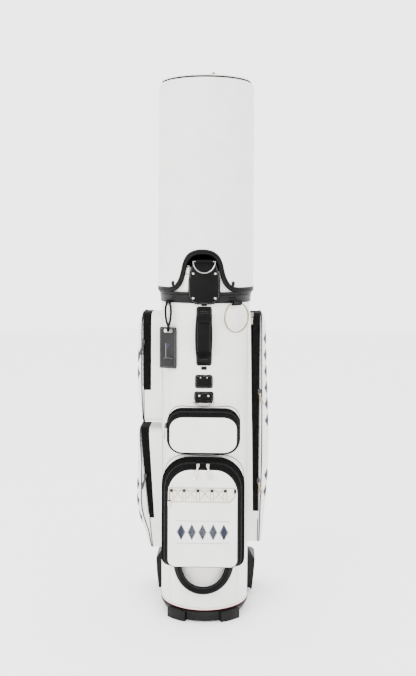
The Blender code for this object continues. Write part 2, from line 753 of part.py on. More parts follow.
def build_front_pocket(name, shape, mats):
    """A gusset on the body and a cover that folds down about its lower edge."""
    frame = front_frame()
    split, front, centre = shape["split"], shape["front"], shape["centre"]
    depth, scale_x, scale_z = shape["shoulder"]
    face_x, face_z = shape["face"]
    wall = POCKET_WALL
    outer = front_outline(shape, 0.0)
    inner = front_outline(shape, wall)
    tray = lofted(f"front_{name}_pocket", outer, [(0.040, 1, 1, 0), (split, 1, 1, 0)], frame,
                  mats["white_leather"])
    hollow = lofted(f"{name}_hollow", inner, [(0.030, 1, 1, 0), (split + 0.01, 1, 1, 0)], frame)
    cut(tray, hollow, bpy.data.objects["body_clearance"])
    start = split + GAP
    cover = lofted(f"front_{name}_cover", outer,
                   [(start, 1, 1, centre), (depth, scale_x, scale_z, centre),
                    (front, face_x, face_z, centre)], frame, mats["white_leather"])
    inside = lofted(f"{name}_inside", inner,
                    [(start - 0.004, 1, 1, centre), (start, 1, 1, centre),
                     (depth - wall, scale_x, scale_z, centre),
                     (front - wall, face_x, face_z, centre)], frame)
    cut(cover, inside)


# ---------------------------------------------------------------- side pockets

# name: side (+1 is +X), low, high, outer reach at (low, middle, top), split reach at (low, top)
SIDE_POCKETS = {
    "left_upper": dict(side=-1, low=0.4440, high=0.7055, outer=(0.1500, 0.1615, 0.1600),
                       split=(0.1455, 0.1485)),
    "left_lower": dict(side=-1, low=0.1420, high=0.4270, outer=(0.1310, 0.1620, 0.1610),
                       split=(0.1210, 0.1560)),
    "right": dict(side=1, low=0.1590, high=0.7055, outer=(0.1370, 0.1525, 0.1450),
                  split=(0.1270, 0.1310)),
}


def side_profile(shape, inset):
    """Front view of a side pocket: tapered at the bottom and rounded over at the top."""
    low, high = shape["low"] + inset, shape["high"] - inset
    reach_low, reach_middle, reach_top = (reach - inset for reach in shape["outer"])
    knee = low + 0.42 * (high - low)
    side = bezier((reach_low, low + 0.006), (reach_low + 0.004, low + 0.03),
                  (reach_middle, knee - 0.05), (reach_middle, knee), 6)
    top = bezier((reach_middle, knee), (reach_middle, high - 0.06), (reach_top, high - 0.04),
                 (reach_top, high - 0.026), 5)[1:]
    crown = bezier((reach_top, high - 0.026), (reach_top, high - 0.006),
                   (reach_top - 0.008, high), (reach_top - 0.026, high), 6)[1:]
    foot = bezier((reach_low - 0.006, low), (reach_low - 0.002, low), (reach_low, low + 0.002),
                  (reach_low, low + 0.006), 3)[:-1]
    return [(0.030, low)] + foot + side + top + crown + [(0.030, high)]


def side_solid(name, shape, inset, mat=None):
    """The front-view profile and the side-view outline, crossed."""
    side = shape["side"]
    profile = [(side * x, z) for x, z in side_profile(shape, inset)]
    block = outline_solid(name, profile, -SIDE_BACK_Y + inset, -SIDE_FRONT_Y - inset,
                          front_frame(), mat)
    middle = -(SIDE_FRONT_Y + SIDE_BACK_Y) / 2
    half = (SIDE_BACK_Y - SIDE_FRONT_Y) / 2 - inset
    outline = rounded_outline(half, shape["low"] + inset, shape["high"] - inset,
                              0.018 - inset, 0.026 - inset, 5)
    crossing = outline_solid(f"{name}_side_view", shifted(outline, middle), -0.2, 0.2,
                             side_frame())
    return keep_inside(block, crossing)


def half_space(name, shape, offset, outwards):
    """Everything outboard or inboard of the pocket's zip line."""
    side = shape["side"]
    low, high = shape["low"] - 0.02, shape["high"] + 0.02
    at_low, at_high = (reach + offset for reach in shape["split"])
    far = 0.25 if outwards else 0.0
    points = [(at_low, low), (at_high, high), (far, high), (far, low)]
    return outline_solid(name, [(side * x, z) for x, z in points], -0.15, 0.10, front_frame())


def build_side_pocket(name, shape, mats):
    """A gusset on the body and an outer shell that folds down about its lower edge."""
    tray = side_solid(f"{name}_pocket", shape, 0.0, mats["white_leather"])
    cover = side_solid(f"{name}_cover", shape, 0.0, mats["white_leather"])
    hollow = side_solid(f"{name}_hollow", shape, POCKET_WALL)
    cut(tray, hollow, half_space(f"{name}_outboard", shape, 0.0, True),
        bpy.data.objects["body_clearance"])
    cut(cover, hollow, half_space(f"{name}_inboard", shape, GAP, False))


def split_reach(shape, z):
    """How far out the zip line lies at a height."""
    low, high = shape["low"] - 0.02, shape["high"] + 0.02
    at_low, at_high = shape["split"]
    return at_low + (at_high - at_low) * (z - low) / (high - low)


# ---------------------------------------------------------------- zip pulls

def oriented_box(name, centre, along, normal, size, mat=None):
    """A box with its length along one direction and its thickness along another."""
    along, normal = Vector(along).normalized(), Vector(normal).normalized()
    across = along.cross(normal).normalized()
    normal = across.cross(along).normalized()
    obj = box(name, (-size[0] / 2, -size[1] / 2, -size[2] / 2),
              (size[0] / 2, size[1] / 2, size[2] / 2), mat)
    rotation = Matrix((across, along, normal)).transposed().to_4x4()
    obj.matrix_world = Matrix.Translation(Vector(centre)) @ rotation
    return obj


def build_pull(name, seat, along, normal, tip, mat):
    """A slider on the zip and the tab that hangs from it, as one piece."""
    along, normal = Vector(along).normalized(), Vector(normal).normalized()
    thickness = 0.0050
    centre = Vector(seat) + normal * (thickness / 2 + GAP)
    slider = oriented_box(name, centre, along, normal, (0.0085, 0.0130, thickness), mat)
    root = centre + along * 0.0030 + normal * 0.0012
    tip = Vector(tip)
    tab = oriented_box(f"{name}_tab", (root + tip) / 2, tip - root, normal,
                       (0.0065, (tip - root).length, 0.0011))
    bpy.context.view_layer.update()
    join(slider, tab)
    return slider


def build_side_pulls(mats):
    """Pulls on the straight front runs of the side pockets' zips."""
    places = {"left_upper": [0.6350], "left_lower": [0.3150], "right": [0.5200, 0.3080]}
    for pocket, heights in places.items():
        shape = SIDE_POCKETS[pocket]
        for number, z in enumerate(heights):
            x = shape["side"] * split_reach(shape, z)
            label = pocket if len(heights) == 1 else f"{pocket}_{('upper', 'lower')[number]}"
            tip = (x + shape["side"] * 0.0075, SIDE_FRONT_Y - 0.0080, z - 0.0300)
            build_pull(f"{label}_pull", (x, SIDE_FRONT_Y, z), (0, 0, -1), (0, -1, 0), tip,
                       mats["chrome"])


def build_front_pulls(mats):
    shape = FRONT_POCKETS["lower"]
    depth, scale_z = shape["shoulder"][0], shape["shoulder"][2]
    top = shape["high"]
    shoulder_z = shape["centre"] + (top - shape["centre"]) * scale_z
    slope = Vector((0, -(depth - shape["split"]), shoulder_z - top))
    normal = Vector((0, slope.z, -slope.y))
    seat = Vector((0, -shape["split"], top)) + slope * 0.78
    for side, label in ((-1, "left"), (1, "right")):
        x = side * 0.0110
        build_pull(f"front_lower_pull_{label}", (x, seat.y, seat.z), slope, normal,
                   (x + side * 0.004, -0.1680, 0.3400), mats["chrome"])
    shape = FRONT_POCKETS["upper"]
    x = -shape["half"]
    y = -(shape["split"] + 0.0050)
    build_pull("front_upper_pull", (x - 0.0002, y, 0.4560), (0, 0, -1), (-1, 0, 0),
               (x - 0.0060, y - 0.0030, 0.4260), mats["chrome"])


def build_lace_panel(mats):
    """The band for tees across the large pocket, sewn on with five eyelets."""
    shape = FRONT_POCKETS["lower"]
    low, high, left, right, chamfer = 0.2900, 0.3240, -0.0745, 0.0730, 0.012
    outline = [(left, low), (right - chamfer, low), (right, low + chamfer), (right, high),
               (left, high)]
    front = shape["front"]
    outline_solid("lace_panel", outline, front + GAP, front + 0.0022, front_frame(),
                  mats["cream_lace"])


# ---------------------------------------------------------------- travel hood

def arch_edge(rise, count=12):
    """The right-hand edge of the front opening, from its top to where it meets the lower edge."""
    flare = HOOD_BOTTOM + rise
    upper = bezier((0.0, ARCH_TOP), (0.0300, ARCH_TOP), (0.0430, 0.8430), (0.0485, 0.8150), count)
    lower = bezier((0.0485, 0.8150), (0.0545, 0.7850), (0.0620, flare), (0.0850, flare), count)
    return upper + lower[1:]


def arch_outline(edge, low):
    """The opening as a closed outline that runs on down past the hood."""
    left = [(-x, z) for x, z in reversed(edge)]
    return edge + [(edge[-1][0], low), (-edge[-1][0], low)] + left[:-1]


def build_hood(mats):
    """The hood's shell, the black binding round its lower edge, and its two snaps."""
    edge = arch_edge(BINDING_WIDTH)
    inner_edge = offset_inwards(edge, BINDING_WIDTH)
    inner_edge[0] = (0.0, ARCH_TOP - BINDING_WIDTH)
    below = COLLAR_TOP - 0.03
    frame = azimuth_frame(ARCH_AZIMUTH)
    shell = turned("hood_shell", ring_profile(HOOD_R - HOOD_WALL, HOOD_R,
                                              HOOD_BOTTOM + BINDING_WIDTH + GAP, HOOD_TOP),
                   mats["white_shell"], steps=72)
    wide_edge = offset_inwards(edge, -GAP)
    wide_edge[0] = (0.0, ARCH_TOP + GAP)
    cut(shell, outline_solid("arch_opening", arch_outline(wide_edge, below), 0.0, 0.2, frame))
    binding = turned("hood_binding", ring_profile(BINDING_R_INNER, HOOD_R + BINDING_PROUD,
                                                  HOOD_BOTTOM, ARCH_TOP + 0.005),
                     mats["black_leather"], steps=72)
    flare = HOOD_BOTTOM + BINDING_WIDTH
    ceiling = ARCH_TOP + 0.05
    above = ([(0.2, flare), (0.2, ceiling), (-0.2, ceiling), (-0.2, flare)]
             + [(-x, z) for x, z in reversed(edge)] + edge[1:])
    front_waste = outline_solid("binding_above", above, 0.0, 0.2, frame)
    back_waste = outline_solid("binding_back", [(-0.2, flare), (0.2, flare), (0.2, ceiling),
                                                (-0.2, ceiling)], -0.2, 0.0001, frame)
    opening = outline_solid("binding_opening", arch_outline(inner_edge, below), 0.0, 0.2, frame)
    cut(binding, front_waste, back_waste, opening)
    for side, label in ((-1, "left"), (1, "right")):
        frame = azimuth_frame(ARCH_AZIMUTH + side * SNAP_AZIMUTH)
        snap = outline_solid(f"hood_snap_{label}",
                             [(x * 0.0042, SNAP_Z + z * 0.0060) for x, z in arc(0, 0, 1, 0, 345, 23)],
                             HOOD_R + GAP, HOOD_R + 0.0022, frame, mats["black_plastic"])
        bevel(snap, 0.0006, 2)


def build_lid(mats):
    low = HOOD_TOP + GAP
    high = low + LID_THICKNESS
    edge = arc(HOOD_R - 0.003, high - 0.003, 0.003, 90, 0, 4)
    profile = [(0.0, high)] + edge + [(HOOD_R, low), (0.0, low)]
    turned("hood_lid", profile, mats["white_shell"], steps=72)
    frame = azimuth_frame(11.0)
    out = frame.to_3x3() @ Vector((0, 0, 1))
    seat = frame @ Vector((0, high, HOOD_R - 0.0120))
    tip = frame @ Vector((0, high + 0.0040, HOOD_R - 0.0430))
    build_pull("lid_pull", seat, -out, (0, 0, 1), tip, mats["chrome"])


# ---------------------------------------------------------------- the bag

def main():
    global collection, cutters
    clear_scene()
    collection = new_collection(COLLECTION)
    cutters = new_collection("cutters")
    mats = make_materials()
    body_clearance()
    axle_hole = build_base(mats)
    build_axle(mats)
    build_wheels(mats, axle_hole)
    build_body(mats)
    build_mouth(mats)
    build_handle_patch(mats)
    build_carry_handle(mats)
    build_tabs(mats)
    build_towel_ring(mats)
    build_tag(mats)
    build_bottom_handle(mats)
    for name, shape in FRONT_POCKETS.items():
        build_front_pocket(name, shape, mats)
    for name, shape in SIDE_POCKETS.items():
        build_side_pocket(name, shape, mats)
    build_side_pulls(mats)
    build_front_pulls(mats)
    build_lace_panel(mats)
    build_hood(mats)
    build_lid(mats)


main()
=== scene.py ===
"""Looks of the golf staff bag: skins, pockets, straps, zips, metalwork and materials."""
import math

import bmesh
import bpy
from mathutils import Matrix, Vector
from mathutils.geometry import interpolate_bezier


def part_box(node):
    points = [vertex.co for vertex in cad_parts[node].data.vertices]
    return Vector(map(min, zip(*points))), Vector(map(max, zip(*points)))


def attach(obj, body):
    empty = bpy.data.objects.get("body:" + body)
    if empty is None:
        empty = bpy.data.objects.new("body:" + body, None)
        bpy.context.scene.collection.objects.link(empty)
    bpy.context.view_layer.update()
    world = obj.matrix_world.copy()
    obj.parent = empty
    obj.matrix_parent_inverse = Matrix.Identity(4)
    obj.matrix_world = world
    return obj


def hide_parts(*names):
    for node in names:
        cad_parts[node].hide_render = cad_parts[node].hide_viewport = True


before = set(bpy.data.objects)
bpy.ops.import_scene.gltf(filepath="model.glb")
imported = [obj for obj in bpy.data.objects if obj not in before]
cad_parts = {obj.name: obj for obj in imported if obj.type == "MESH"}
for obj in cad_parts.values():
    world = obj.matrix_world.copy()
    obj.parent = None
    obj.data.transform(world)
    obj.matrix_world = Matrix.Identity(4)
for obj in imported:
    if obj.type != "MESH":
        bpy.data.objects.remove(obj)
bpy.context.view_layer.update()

# Driving sizes, read from the frame where a node gives them
SKIN_LOW, SKIN_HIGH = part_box("body_skin")
BODY_LOW, BODY_HIGH, R_TOP = SKIN_LOW[2], SKIN_HIGH[2], SKIN_HIGH[0]
R_BOTTOM = R_TOP - 0.0030
HOOD_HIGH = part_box("hood_shell")[1]
HOOD_R, HOOD_TOP = HOOD_HIGH[0], HOOD_HIGH[2]
COLLAR_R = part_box("collar_ring")[1][0]
CUFF_LOW, CUFF_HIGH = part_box("cuff")
LEATHER = 0.0022            # thickness of the pockets' walls
BINDING = 0.0095            # width of the leather binding on the hood's edge
LOOP_R, LOOP_Z = 0.1160, 0.7340         # where the towel ring and the tag hang
TOWEL_AZIMUTH, TAG_AZIMUTH = 40.0, -47.0    # degrees from the front
STITCH = (0.0042, 0.0030, 0.0007, 0.0005)   # pitch, length, width and height of a fine stitch
TOOTH = (0.0046, 0.0019, 0.0011)    # a zip tooth: across the band, along it, height
REAR = [math.pi - 0.20 + 0.40 * k / 24 for k in range(25)]  # azimuths of the hood's rear hinge
UP, FORWARD = Vector((0, 0, 1)), Vector((0, -1, 0))
TAU = 2 * math.pi


# ---------------------------------------------------------------- camera

def make_camera():
    """Level camera, a little to the bag's right, its frame shifted down."""
    turn, roll = math.radians(1.8), math.radians(0.25)
    distance, height = 2.16, 0.870
    data = bpy.data.cameras.new("camera")
    data.lens = 47.56
    data.sensor_width = 36.0
    data.shift_x = 0.0031
    data.shift_y = -0.139
    camera = bpy.data.objects.new("camera", data)
    place = Matrix.Translation((distance * math.sin(turn), -distance * math.cos(turn), height))
    camera.matrix_world = (place @ Matrix.Rotation(turn, 4, "Z")
                           @ Matrix.Rotation(math.pi / 2, 4, "X")
                           @ Matrix.Rotation(roll, 4, "Z"))
    bpy.context.scene.collection.objects.link(camera)
    bpy.context.scene.camera = camera


# ---------------------------------------------------------------- materials

def new_material(name, colour, roughness, metallic=0.0):
    mat = bpy.data.materials.new(name)
    mat.use_nodes = True
    nodes, links = mat.node_tree.nodes, mat.node_tree.links
    shader = nodes["Principled BSDF"]
    shader.inputs["Base Color"].default_value = (*colour, 1.0)
    shader.inputs["Roughness"].default_value = roughness
    shader.inputs["Metallic"].default_value = metallic
    mat.diffuse_color = (*colour, 1.0)
    place = nodes.new("ShaderNodeTexCoord").outputs["Object"]
    return mat, nodes, links, shader, place


def texture(nodes, links, place, kind, scale, detail=2.0):
    node = nodes.new(f"ShaderNodeTex{kind}")
    node.inputs["Scale"].default_value = scale
    if "Detail" in node.inputs:
        node.inputs["Detail"].default_value = detail
    links.new(place, node.inputs["Vector"])
    return node


def spread(nodes, links, value, low, high):
    """A 0 to 1 value stretched to a range."""
    node = nodes.new("ShaderNodeMapRange")
    node.inputs["To Min"].default_value = low
    node.inputs["To Max"].default_value = high
    links.new(value, node.inputs["Value"])
    return node.outputs["Result"]


def tint(nodes, links, factor, dark, light, shader):
    ramp = nodes.new("ShaderNodeValToRGB")
    ramp.color_ramp.elements[0].position = 0.3
    ramp.color_ramp.elements[0].color = (*dark, 1.0)
    ramp.color_ramp.elements[1].position = 0.7
    ramp.color_ramp.elements[1].color = (*light, 1.0)
    links.new(factor, ramp.inputs["Fac"])
    links.new(ramp.outputs["Color"], shader.inputs["Base Color"])


def add_bump(nodes, links, shader, height, strength, distance):
    bump = nodes.new("ShaderNodeBump")
    bump.inputs["Strength"].default_value = strength
    bump.inputs["Distance"].default_value = distance
    links.new(height, bump.inputs["Height"])
    links.new(bump.outputs["Normal"], shader.inputs["Normal"])


def leather(name, dark, light, roughness, grain=650.0, strength=0.35):
    """Coated leather: pebbled grain, faint cloudy tone and uneven gloss."""
    mat, nodes, links, shader, place = new_material(name, light, roughness)
    pebble = texture(nodes, links, place, "Voronoi", grain)
    pebble.feature = "SMOOTH_F1"
    cloud = texture(nodes, links, place, "Noise", 22.0, 4.0)
    fine = texture(nodes, links, place, "Noise", 260.0, 3.0)
    tint(nodes, links, cloud.outputs["Fac"], dark, light, shader)
    links.new(spread(nodes, links, fine.outputs["Fac"], roughness - 0.08, roughness + 0.10),
              shader.inputs["Roughness"])
    add_bump(nodes, links, shader, pebble.outputs["Distance"], strength, 0.0006)
    if max(light) < 0.05:
        shader.inputs["Specular IOR Level"].default_value = 0.055
    return mat


def woven(name, dark, light, pitch=0.0011, roughness=0.85, strength=0.6):
    """Tape or webbing: two sets of ribs crossed, with a faint mottled tone."""
    mat, nodes, links, shader, place = new_material(name, light, roughness)
    ribs = []
    for direction in ("DIAGONAL", "Z"):
        wave = texture(nodes, links, place, "Wave", 1.0 / pitch / 3.2)
        wave.wave_type = "BANDS"
        wave.bands_direction = direction
        ribs.append(wave.outputs["Fac"])
    both = nodes.new("ShaderNodeMath")
    both.operation = "MULTIPLY"
    links.new(ribs[0], both.inputs[0])
    links.new(ribs[1], both.inputs[1])
    cloud = texture(nodes, links, place, "Noise", 140.0, 3.0)
    tint(nodes, links, cloud.outputs["Fac"], dark, light, shader)
    add_bump(nodes, links, shader, both.outputs["Value"], strength, 0.0004)
    shader.inputs["Specular IOR Level"].default_value = 0.05
    return mat


def moulded(name, dark, light, roughness, grain=900.0, strength=0.2):
    """Moulded plastic or rubber with a fine spark-eroded texture."""
    mat, nodes, links, shader, place = new_material(name, light, roughness)
    fine = texture(nodes, links, place, "Noise", grain, 5.0)
    cloud = texture(nodes, links, place, "Noise", 30.0, 3.0)
    tint(nodes, links, cloud.outputs["Fac"], dark, light, shader)
    links.new(spread(nodes, links, fine.outputs["Fac"], roughness - 0.08, roughness + 0.12),
              shader.inputs["Roughness"])
    add_bump(nodes, links, shader, fine.outputs["Fac"], strength, 0.0003)
    if max(light) < 0.05:
        shader.inputs["Specular IOR Level"].default_value = 0.12
    return mat


def metal(name, colour, roughness):
    """Plated metal with faint polishing marks and slightly cloudy gloss."""
    mat, nodes, links, shader, place = new_material(name, colour, roughness, 1.0)
    cloud = texture(nodes, links, place, "Noise", 320.0, 4.0)
    links.new(spread(nodes, links, cloud.outputs["Fac"], roughness * 0.6, roughness * 1.6),
              shader.inputs["Roughness"])
    add_bump(nodes, links, shader, cloud.outputs["Fac"], 0.05, 0.0002)
    return mat


def fabric(name, dark, light, grain=500.0, strength=0.7):
    """Brushed lining or fleece: soft, uneven and without gloss."""
    mat, nodes, links, shader, place = new_material(name, light, 0.95)
    shader.inputs["Sheen Weight"].default_value = 0.3
    fluff = texture(nodes, links, place, "Noise", grain, 6.0)
    tint(nodes, links, fluff.outputs["Fac"], dark, light, shader)
    add_bump(nodes, links, shader, fluff.outputs["Fac"], strength, 0.0008)
    return mat


def grey(value):
    return (value, value, value)


MATS = {
    "white": leather("white_leather_fine", (0.655, 0.645, 0.62), (0.72, 0.71, 0.685), 0.46),
    "hood": leather("hood_leather", (0.67, 0.67, 0.66), (0.72, 0.72, 0.71), 0.50, 800.0, 0.22),
    "black": leather("black_leather_fine", grey(0.0014), grey(0.0035), 0.46, 700.0, 0.5),
    "padded": leather("padded_leather", grey(0.0014), grey(0.003), 0.52, 900.0, 0.4),
    "cream": leather("cream_leather", (0.62, 0.57, 0.48), (0.69, 0.645, 0.555), 0.55, 600.0, 0.4),
    "tape": woven("zip_tape", grey(0.0015), grey(0.004)),
    "webbing": woven("loop_webbing", grey(0.004), grey(0.010), 0.0016),
    "plastic": moulded("black_moulding", grey(0.003), grey(0.006), 0.46),
    "collar": moulded("collar_moulding", grey(0.003), grey(0.006), 0.38),
    "rubber": moulded("tag_rubber_fine", grey(0.010), grey(0.018), 0.60, 600.0, 0.5),
    "tyre": moulded("tyre_rubber", grey(0.020), grey(0.034), 0.72, 500.0, 0.5),
    "hub": moulded("wheel_hub", grey(0.10), grey(0.14), 0.4),
    "chrome": metal("chrome_plate", (0.27, 0.265, 0.25), 0.12),
    "nickel": metal("warm_nickel", (0.27, 0.225, 0.15), 0.16),
    "rivet": metal("rivet_plate", (0.60, 0.57, 0.50), 0.22),
    "bronze": metal("bronze_pull", (0.26, 0.20, 0.13), 0.3),
    "dark_metal": metal("dark_pull", (0.05, 0.05, 0.05), 0.35),
    "teeth": moulded("zip_teeth", grey(0.006), grey(0.014), 0.38),
    "white_thread": fabric("white_thread", grey(0.62), grey(0.74), 1500.0, 0.3),
    "dark_thread": fabric("dark_thread", grey(0.012), grey(0.022), 1500.0, 0.3),
    "navy_thread": fabric("navy_thread", (0.002, 0.003, 0.014), (0.005, 0.008, 0.030), 1200.0, 0.5),
    "grey_thread": fabric("grey_thread", grey(0.10), grey(0.16), 1500.0, 0.3),
    "lining": fabric("pocket_lining", grey(0.16), grey(0.24)),
    "fleece": fabric("divider_fleece", grey(0.03), grey(0.06), 700.0, 0.9),
    "liner": moulded("tube_liner", grey(0.16), grey(0.22), 0.6),
    "red": moulded("red_print", (0.45, 0.02, 0.02), (0.55, 0.035, 0.03), 0.5),
}


# ---------------------------------------------------------------- mesh tools

class Part:
    """A mesh under construction whose faces may take several materials."""

    def __init__(self, name, *mats):
        self.name = name
        self.mats = mats
        self.bm = bmesh.new()

    def row(self, points):
        return [self.bm.verts.new(p) for p in points]

    def bridge(self, lower, upper, mat=0):
        """Quads between two closed rows of vertices."""
        count = len(lower)
        for i in range(count):
            j = (i + 1) % count
            face = self.bm.faces.new((lower[i], lower[j], upper[j], upper[i]))
            face.material_index = mat
            face.smooth = True

    def surface(self, rows, mat=0):
        """Closed rows of points joined in turn; mat is one slot or one for each gap."""
        made = [self.row(points) for points in rows]
        for index, (lower, upper) in enumerate(zip(made, made[1:])):
            self.bridge(lower, upper, mat[index] if isinstance(mat, list) else mat)
        return made

    def cap(self, rings, mat=0):
        """Close the first and the last ring with one flat face each."""
        for end in (rings[0], rings[-1]):
            self.bm.faces.new(end).material_index = mat

    def fan(self, row, centre, mat=0):
        """Close a row over its middle."""
        middle = self.bm.verts.new(centre)
        for i in range(len(row)):
            face = self.bm.faces.new((row[i], row[(i + 1) % len(row)], middle))
            face.material_index = mat
            face.smooth = True

    def sweep(self, path, normals, section, closed=True, mat=0):
        """Carry a closed section of (across, out) points along a path."""
        rows = []
        count = len(path)
        for i, (point, normal) in enumerate(zip(path, normals)):
            before = path[i - 1] if closed or i else path[0]
            after = path[(i + 1) % count] if closed or i < count - 1 else path[-1]
            along = (Vector(after) - Vector(before)).normalized()
            normal = Vector(normal).normalized()
            across = along.cross(normal).normalized()
            rows.append([Vector(point) + across * a + normal * o for a, o in section])
        made = self.surface(rows, mat)
        if closed:
            self.bridge(made[-1], made[0], mat)
        else:
            self.cap(made, mat)

    def capsule(self, centre, along, normal, length, width, height, mat=0):
        """A stitch or tooth: a small six-sided lozenge lying on a surface."""
        along, normal = Vector(along).normalized(), Vector(normal).normalized()
        across = along.cross(normal).normalized()
        rows = []
        for share, size in ((-0.5, 0.35), (-0.32, 1.0), (0.32, 1.0), (0.5, 0.35)):
            middle = Vector(centre) + along * (length * share)
            rows.append([middle + across * (width / 2 * a * size) + normal * (height * o * size)
                         for a, o in ((-1, -0.2), (1, -0.2), (0.7, 0.75), (0, 1), (-0.7, 0.75))])
        self.cap(self.surface(rows, mat), mat)

    def dashes(self, path, normals, pitch, length, width, height, closed=False, mat=0):
        """A row of stitches along a path."""
        for point, along, normal in walk(path, normals, pitch, closed):
            self.capsule(point, along, normal, length, width, height, mat)

    def finish(self, body, replaces):
        """Make the object, ride it on a body and hide the frame node it stands in for."""
        bmesh.ops.recalc_face_normals(self.bm, faces=self.bm.faces)
        mesh = bpy.data.meshes.new(self.name)
        self.bm.to_mesh(mesh)
        self.bm.free()
        for mat in self.mats:
            mesh.materials.append(MATS[mat])
        obj = bpy.data.objects.new(self.name, mesh)
        bpy.context.scene.collection.objects.link(obj)
        mesh.set_sharp_from_angle(angle=math.radians(50))
        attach(obj, body)
        if replaces:
            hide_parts(replaces)
        return obj


def walk(path, normals, pitch, closed=False):
    """Evenly spaced places along a path: point, direction and normal."""
    points = [Vector(p) for p in path]
    normals = [Vector(n) for n in normals]
    if closed:
        points.append(points[0])
        normals.append(normals[0])
    lengths = [(b - a).length for a, b in zip(points, points[1:])]
    total = sum(lengths)
    count = max(1, round(total / pitch))
    places = []
    index, passed = 0, 0.0
    for k in range(count):
        target = (k + 0.5) * total / count
        while index < len(lengths) - 1 and passed + lengths[index] < target:
            passed += lengths[index]
            index += 1
        share = (target - passed) / max(lengths[index], 1e-9)
        point = points[index].lerp(points[index + 1], share)
        normal = normals[index].lerp(normals[index + 1], share)
        places.append((point, points[index + 1] - points[index], normal))
    return places


def circle_section(radius, count=8, squash=1.0):
    return [(radius * math.cos(TAU * i / count), radius * squash * math.sin(TAU * i / count))
            for i in range(count)]


def rounded_section(half_width, low, high, radius, count=3):
    """A rounded bar: across from -half_width to half_width, out from low to high."""
    points = []
    corners = ((half_width - radius, low + radius, -90), (half_width - radius, high - radius, 0),
               (-half_width + radius, high - radius, 90), (-half_width + radius, low + radius, 180))
    for x, y, start in corners:
        for i in range(count + 1):
            angle = math.radians(start + 90 * i / count)
            points.append((x + radius * math.cos(angle), y + radius * math.sin(angle)))
    return points


def bezier(*corners, count=12):
    return [(p.x, p.y) for p in interpolate_bezier(*[Vector((x, y, 0)) for x, y in corners], count)]


def arc(cx, cy, radius, start, end, count):
    angles = [math.radians(start + (end - start) * i / count) for i in range(count + 1)]
    return [(cx + radius * math.cos(a), cy + radius * math.sin(a)) for a in angles]


def rounded_outline(half, low, high, r_low, r_high, straight=6, count=8, shift=0.0):
    """A rounded rectangle, anticlockwise from bottom left, with points along its sides."""
    corners = (arc(half - r_low, low + r_low, r_low, -90, 0, count),
               arc(half - r_high, high - r_high, r_high, 0, 90, count),
               arc(-half + r_high, high - r_high, r_high, 90, 180, count),
               arc(-half + r_low, low + r_low, r_low, 180, 270, count))
    points = []
    for index, corner in enumerate(corners):
        points += corner
        target = corners[(index + 1) % 4][0]
        last = corner[-1]
        points += [(last[0] + (target[0] - last[0]) * k / straight,
                    last[1] + (target[1] - last[1]) * k / straight) for k in range(1, straight)]
    return [(x + shift, y) for x, y in points]


def outline_normals(outline):
    """Outward directions, in the outline's plane, of an anticlockwise outline."""
    count = len(outline)
    normals = []
    for i in range(count):
        ax, ay = outline[i - 1]
        bx, by = outline[(i + 1) % count]
        length = math.hypot(bx - ax, by - ay) or 1.0
        normals.append(((by - ay) / length, -(bx - ax) / length))
    return normals


def blend_outlines(first, second, share):
    return [(a + (c - a) * share, b + (d - b) * share) for (a, b), (c, d) in zip(first, second)]


def scaled(outline, share, centre):
    return [(centre[0] + (x - centre[0]) * share, centre[1] + (y - centre[1]) * share)
            for x, y in outline]


def polar(azimuth, radius, z):
    return Vector((radius * math.sin(azimuth), -radius * math.cos(azimuth), z))


def outward(azimuth):
    return Vector((math.sin(azimuth), -math.cos(azimuth), 0.0))


def body_radius(z):
    share = (z - BODY_LOW) / (BODY_HIGH - BODY_LOW)
    return R_BOTTOM + (R_TOP - R_BOTTOM) * share


def on_body(x, z, lift=0.0):
    """A point on the body's front, seen at x, lifted off the skin."""
    radius = body_radius(z) + lift
    return Vector((x, -math.sqrt(max(radius ** 2 - x ** 2, 0.0)), z))


def sideways(azimuth):
    """Along the bag's skin to the right, seen from outside at an azimuth."""
    return Vector((math.cos(azimuth), math.sin(azimuth), 0))


def circle(radius, z, count=96):
    return [polar(TAU * k / count, radius, z) for k in range(count)]


def outwards(count=96):
    return [outward(TAU * k / count) for k in range(count)]


def radial(point):
    return Vector((point.x, point.y, 0.0)).normalized()


# ---------------------------------------------------------------- hood

ARCH_TURN = math.radians(-2.2)
ARCH_CURVES = (((0.0, 0.857), (0.030, 0.857), (0.043, 0.843), (0.0485, 0.815)),
               ((0.0485, 0.815), (0.0545, 0.785), (0.062, 0.7688), (0.085, 0.7688)))


def hood_edge():
    """The leather's lower edge, once round the hood, as (azimuth, height)."""
    right = []
    for curve in ARCH_CURVES:
        right += bezier(*curve, count=16)[1 if right else 0:]
    right = [(math.asin(x / HOOD_R), z) for x, z in right]
    start, low = right[-1]
    rest = [(start + (math.pi - start) * k / 30, low) for k in range(1, 31)]
    half = right + rest
    return [(a + ARCH_TURN, z) for a, z in [(-a, z) for a, z in reversed(half[1:-1])] + half]


def soft_ripple(azimuth, z):
    """Slack leather: shallow hollows that never repeat exactly."""
    return (0.00045 * math.sin(3 * azimuth + 9 * z) + 0.0003 * math.sin(7 * azimuth - 21 * z + 1.3)
            + 0.0002 * math.sin(11 * azimuth + 47 * z))


